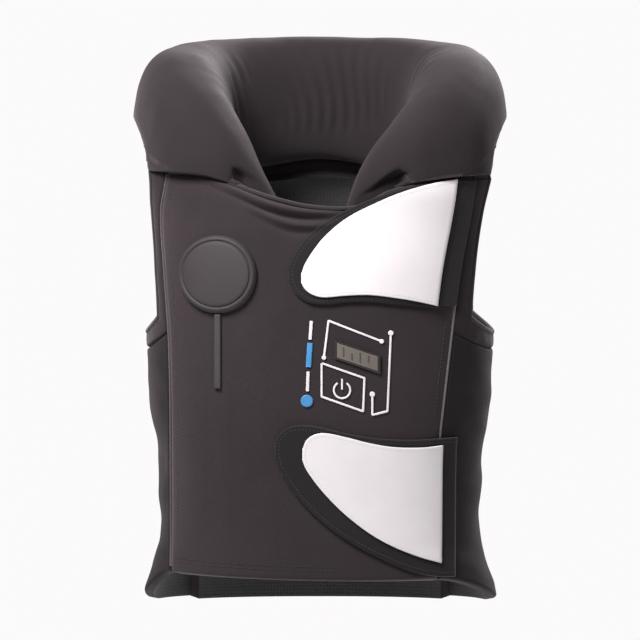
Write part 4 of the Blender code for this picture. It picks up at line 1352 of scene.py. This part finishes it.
def bindings():
    for side, name in ((-1, "right"), (1, "left")):
        low, low_normal, over, over_normal = armhole_edge(side)
        path = np.concatenate((low, over[2:-2]))
        normals = np.concatenate((low_normal, over_normal[2:-2]))
        sink = np.concatenate((np.full(len(low), 0.0012), np.full(len(over) - 4, 0.0027)))
        path = path - normals * sink[:, None]
        even = evenly(path, 0.002, True)
        nearest = np.array([np.argmin(((path - p) ** 2).sum(1)) for p in even])
        piece = tube(f"armhole_binding_{name}", even, 0.0026, BINDING, 12, True, 1.0,
                     normals[nearest])


def hem_path(face, x, z, sink):
    at = face(x, z)
    normal = outward(face, x, z)
    return at - normal * sink, normal


def seam_cords():
    """Thin cords that lie in the seam valleys, sewn between neighbouring panels."""
    low = float(front_hem(front_seam(-1, np.array(-FRONT_LENGTH))))
    z = np.linspace(low + 0.004, front_corner(-1)[1] - 0.002, 200)
    x = front_seam(-1, z)
    at, normal = hem_path(front_face, x, z, 0.0016)
    piece = tube("seam_cord_right", evenly(at, 0.002), 0.0013, PIPING, 8)
    low = float(front_hem(front_seam(1, np.array(-FRONT_LENGTH))))
    z = np.linspace(low + 0.004, front_corner(1)[1] - 0.002, 200)
    x = front_seam(1, z)
    at, normal = hem_path(front_face, x, z, 0.0014)
    # This cord is coloured lighter than its twin on the right: a painted highlight along the lit left
    # edge.
    piece = tube("seam_cord_left", evenly(at, 0.002), 0.0014, PIPING_PAINTED_HIGHLIGHT, 8)
    x = np.linspace(front_corner(-1)[0] + 0.002, front_corner(1)[0] - 0.002, 240)
    z = neckline(x)
    at = front_face(x, z + 0.0008) - outward(front_face, x, z) * 0.0012
    piece = tube("seam_cord_neckline", evenly(at, 0.002), 0.0022, BINDING, 12)


def neck_tape():
    """The tape inside the back of the neck that joins the collar to the back panel."""
    x = np.linspace(-0.076, 0.076, 120)
    z = back_top(x)
    at = back_face(x, z) - outward(back_face, x, z) * 0.0105
    path = evenly(at + np.array((0.0, 0.0, 0.0035)), 0.002)
    up = np.tile(np.array((0.0, -1.0, 0.0)), (len(path), 1))
    piece = tube("neck_tape", path, 0.0068, BINDING, 16, False, 0.6, up)


def collar_tacks():
    """Bound ends of the neckline where the collar tucks in behind the front panel."""
    for side, name, lift in ((-1, "right", 0.0026), (1, "left", 0.0048)):
        aside = np.linspace(0.070, 0.093, 40)
        x = side * aside
        z = neckline(x) + lift
        sink = smooth((0.0770 - aside) / 0.006) + smooth((aside - 0.0860) / 0.006)
        normal = outward(front_face, x, z)
        at = evenly(front_face(x, z) - normal * (0.0008 + 0.0070 * sink)[:, None], 0.001)
        piece = tube(f"collar_tack_{name}", at, 0.0026, COLLAR, 14)


def yoke_seams():
    """Cords in the seams across the front and the back end of each yoke."""
    across = np.linspace(0.0, 1.0, 60)[None, :]
    for side, name in ((-1, "right"), (1, "left")):
        for share, end in ((0.0, "front"), (1.0, "back")):
            x, turn, _ = yoke_net(side, across, np.array([[share]]))
            at = arch_face(x, turn)[0] - outward(arch_face, x, turn)[0] * 0.0030
            piece = tube(f"yoke_seam_cord_{name}_{end}", evenly(at, 0.002), 0.0027, COLLAR)


def back_seams():
    """Cords in the seams beside the back panel."""
    for side, name in ((-1, "right"), (1, "left")):
        z = np.linspace(-BACK_LENGTH + 0.004, -BACK_CORNER_DROP - 0.004, 200)
        x = side * BACK_SEAM + 0 * z
        at = back_face(x, z) - outward(back_face, x, z) * 0.0016
        piece = tube(f"back_seam_cord_{name}", evenly(at, 0.002), 0.0013, PIPING, 8)


def sewing():
    """Rows of stitches beside the seams, round the flaps and on the patches."""
    dark = []
    z = np.linspace(-FRONT_LENGTH + 0.006, front_corner(-1)[1] - 0.008, 200)
    x = front_seam(-1, z) + 0.0075
    dark.append(chest_points(x, z, 0.0002))
    z = np.linspace(-FRONT_LENGTH + 0.006, -0.37 * BACK_LENGTH, 150)
    z = z[(z > -0.585 * BACK_LENGTH)]
    x = front_seam(1, z) - 0.0075
    dark.append(chest_points(x, z, 0.0002))
    x = np.linspace(front_seam(-1, np.array(-FRONT_LENGTH)) + 0.006, LOWER_FLAP_TIP + 0.055, 120)
    for rise in (0.009, 0.0125):
        dark.append(chest_points(x, front_hem(x) + rise, 0.0002))
    x = np.linspace(-BACK_SEAM + 0.004, BACK_SEAM - 0.004, 160)
    for rise in (0.009, 0.0125):
        dark.append(back_points(x, -BACK_LENGTH + rise + 0 * x))
    z = np.linspace(-BACK_LENGTH + 0.016, -0.035, 200)
    for side in (-1, 1):
        dark.append(back_points(side * (BACK_SEAM - 0.0075) + 0 * z, z))
    piece = stitches("panel_stitches", dark, THREAD)
    light = []
    for table, tip, root in (
        (UPPER_PATCH, UPPER_PATCH_TIP, lambda z: anchor_line(z) - LAYER_GAP),
        (LOWER_PATCH, LOWER_PATCH_TIP, lambda z: front_seam(1, z)),
    ):
        light.append(inset_outline(table, tip, root, 0.0028,
                                   LAYER_GAP * 2 + FLAP_THICKNESS + PATCH_THICKNESS))
    piece = stitches("patch_stitches", light, THREAD_LIGHT, 0.0022, 0.0032, 0.00026)
    flap_rows = []
    for table, tip, root in (
        (UPPER_FLAP, UPPER_FLAP_TIP, anchor_line),
        (LOWER_FLAP, LOWER_FLAP_TIP, lambda z: front_seam(1, z) + LOWER_FLAP_OVERLAP),
    ):
        flap_rows.append(inset_outline(table, tip, root, 0.0038, LAYER_GAP + FLAP_THICKNESS))
    piece = stitches("flap_stitches", flap_rows, THREAD, 0.0024, 0.0034, 0.0003)


def back_points(x, z):
    normal = outward(back_face, x, z)
    return back_face(x, z) + normal * 0.0002, normal


def inset_outline(table, tip, root, inset, lift):
    """A line inside a layer's outline, from its root along the top, round the tip and back."""
    share = np.linspace(1.0, 0.0, 160) ** FLAP_CROWDING
    upper, lower = read_table(table, share)
    top = np.stack((mix(tip, root(-upper * BACK_LENGTH), share), -upper * BACK_LENGTH), 1)
    low = np.stack((mix(tip, root(-lower * BACK_LENGTH), share), -lower * BACK_LENGTH), 1)[::-1]
    outline = np.concatenate((top, low))
    flat = evenly(np.concatenate((outline, np.zeros((len(outline), 1))), 1), 0.001)
    ahead = np.gradient(flat, axis=0)
    ahead /= np.linalg.norm(ahead, axis=1, keepdims=True)
    inward = np.stack((-ahead[:, 1], ahead[:, 0]), 1)
    inset_line = flat[:, :2] + inward * inset
    keep = np.ones(len(inset_line), bool)
    for k in range(len(inset_line)):
        gaps = np.hypot(*(flat[:, :2] - inset_line[k]).T)
        keep[k] = gaps.min() > inset * 0.93
    inset_line = inset_line[keep]
    return chest_points(inset_line[:, 0], inset_line[:, 1], lift)


# The room, the lights and the camera

FLOOR_HEIGHT = -1.30
BACKDROP_GLOW = 0.97         # how bright the pale backdrop looks
ROOM_GLOW = 0.26             # how much soft light the room gives


def studio():
    """A plain pale floor under the vest, at the height that a wearer stands on."""
    sides = 96
    turns = np.linspace(0.0, 2 * math.pi, sides, endpoint=False)
    verts = [(4.0 * math.cos(t), 4.0 * math.sin(t), FLOOR_HEIGHT) for t in turns]
    mesh = bpy.data.meshes.new("studio_floor")
    mesh.from_pydata(verts, [], [tuple(range(sides))])
    finish = moulded("studio_floor", (0.80, 0.80, 0.80), 0.9, 40.0, 0.0002, 0.01)
    shader = finish.node_tree.nodes["Principled BSDF"]
    shader.inputs["Emission Color"].default_value = (1.0, 0.99, 0.99, 1.0)
    shader.inputs["Emission Strength"].default_value = 0.45
    mesh.materials.append(finish)
    obj = bpy.data.objects.new("studio_floor", mesh)
    bpy.context.scene.collection.objects.link(obj)


def softbox(name, where, aim, size, watts, colour=(1.0, 1.0, 1.0)):
    light = bpy.data.lights.new(name, "AREA")
    light.shape = "RECTANGLE"
    light.size, light.size_y = size
    light.energy = watts
    light.color = colour
    obj = bpy.data.objects.new(name, light)
    obj.location = where
    obj.rotation_euler = (Vector(aim) - Vector(where)).to_track_quat("-Z", "Y").to_euler()
    bpy.context.scene.collection.objects.link(obj)


def light_and_camera():
    world = bpy.data.worlds.new("studio")
    world.use_nodes = True
    tree = world.node_tree
    room = tree.nodes["Background"]
    room.inputs["Color"].default_value = (1.0, 0.985, 0.99, 1.0)
    seen = tree.nodes.new("ShaderNodeLightPath").outputs["Is Camera Ray"]
    glow = math_node(tree, "MULTIPLY_ADD", seen, BACKDROP_GLOW - ROOM_GLOW)
    glow.node.inputs[2].default_value = ROOM_GLOW
    tree.links.new(glow, room.inputs["Strength"])
    bpy.context.scene.world = world
    middle = (0.0, 0.0, -0.15)
    softbox("key", (-0.55, -0.75, 0.75), (0.0, -0.10, -0.05), (0.45, 0.45), 36.0,
            (1.0, 0.97, 0.98))
    softbox("fill", (2.2, -2.4, 0.6), middle, (1.4, 1.4), 7.0)
    softbox("top", (0.2, 0.2, 2.2), middle, (1.2, 1.0), 11.0)
    softbox("behind", (1.0, 1.6, 1.1), middle, (1.0, 1.0), 60.0)
    camera = bpy.data.cameras.new("camera")
    distance = 8.0
    camera.sensor_width = 36.0
    camera.lens = 36.0 * distance / 0.585
    camera.clip_end = 50.0
    obj = bpy.data.objects.new("camera", camera)
    aim = Vector((0.0, -0.10, -0.157))
    elevation = math.radians(2.0)
    obj.location = aim + distance * Vector((0.0, -math.cos(elevation), math.sin(elevation)))
    obj.rotation_euler = (aim - obj.location).to_track_quat("-Z", "Y").to_euler()
    bpy.context.scene.collection.objects.link(obj)
    bpy.context.scene.camera = obj
    bpy.context.scene.view_settings.view_transform = "Standard"


front_panel()
back_panel()
side_panel("side_panel_right_cloth", -1, "side_panel_right")
side_panel("side_panel_left_cloth", 1, "side_panel_left")
armhole_band("armhole_band_right_cloth", -1, "armhole_band_right")
armhole_band("armhole_band_left_cloth", 1, "armhole_band_left")
yoke("yoke_right_cloth", -1, "yoke_right")
yoke("yoke_left_cloth", 1, "yoke_left")
collar()
flaps()
anchor()
valve_cover()
small_parts()
display()
prints()
bindings()
seam_cords()
yoke_seams()
collar_tacks()
back_seams()
neck_tape()
sewing()
studio()
light_and_camera()
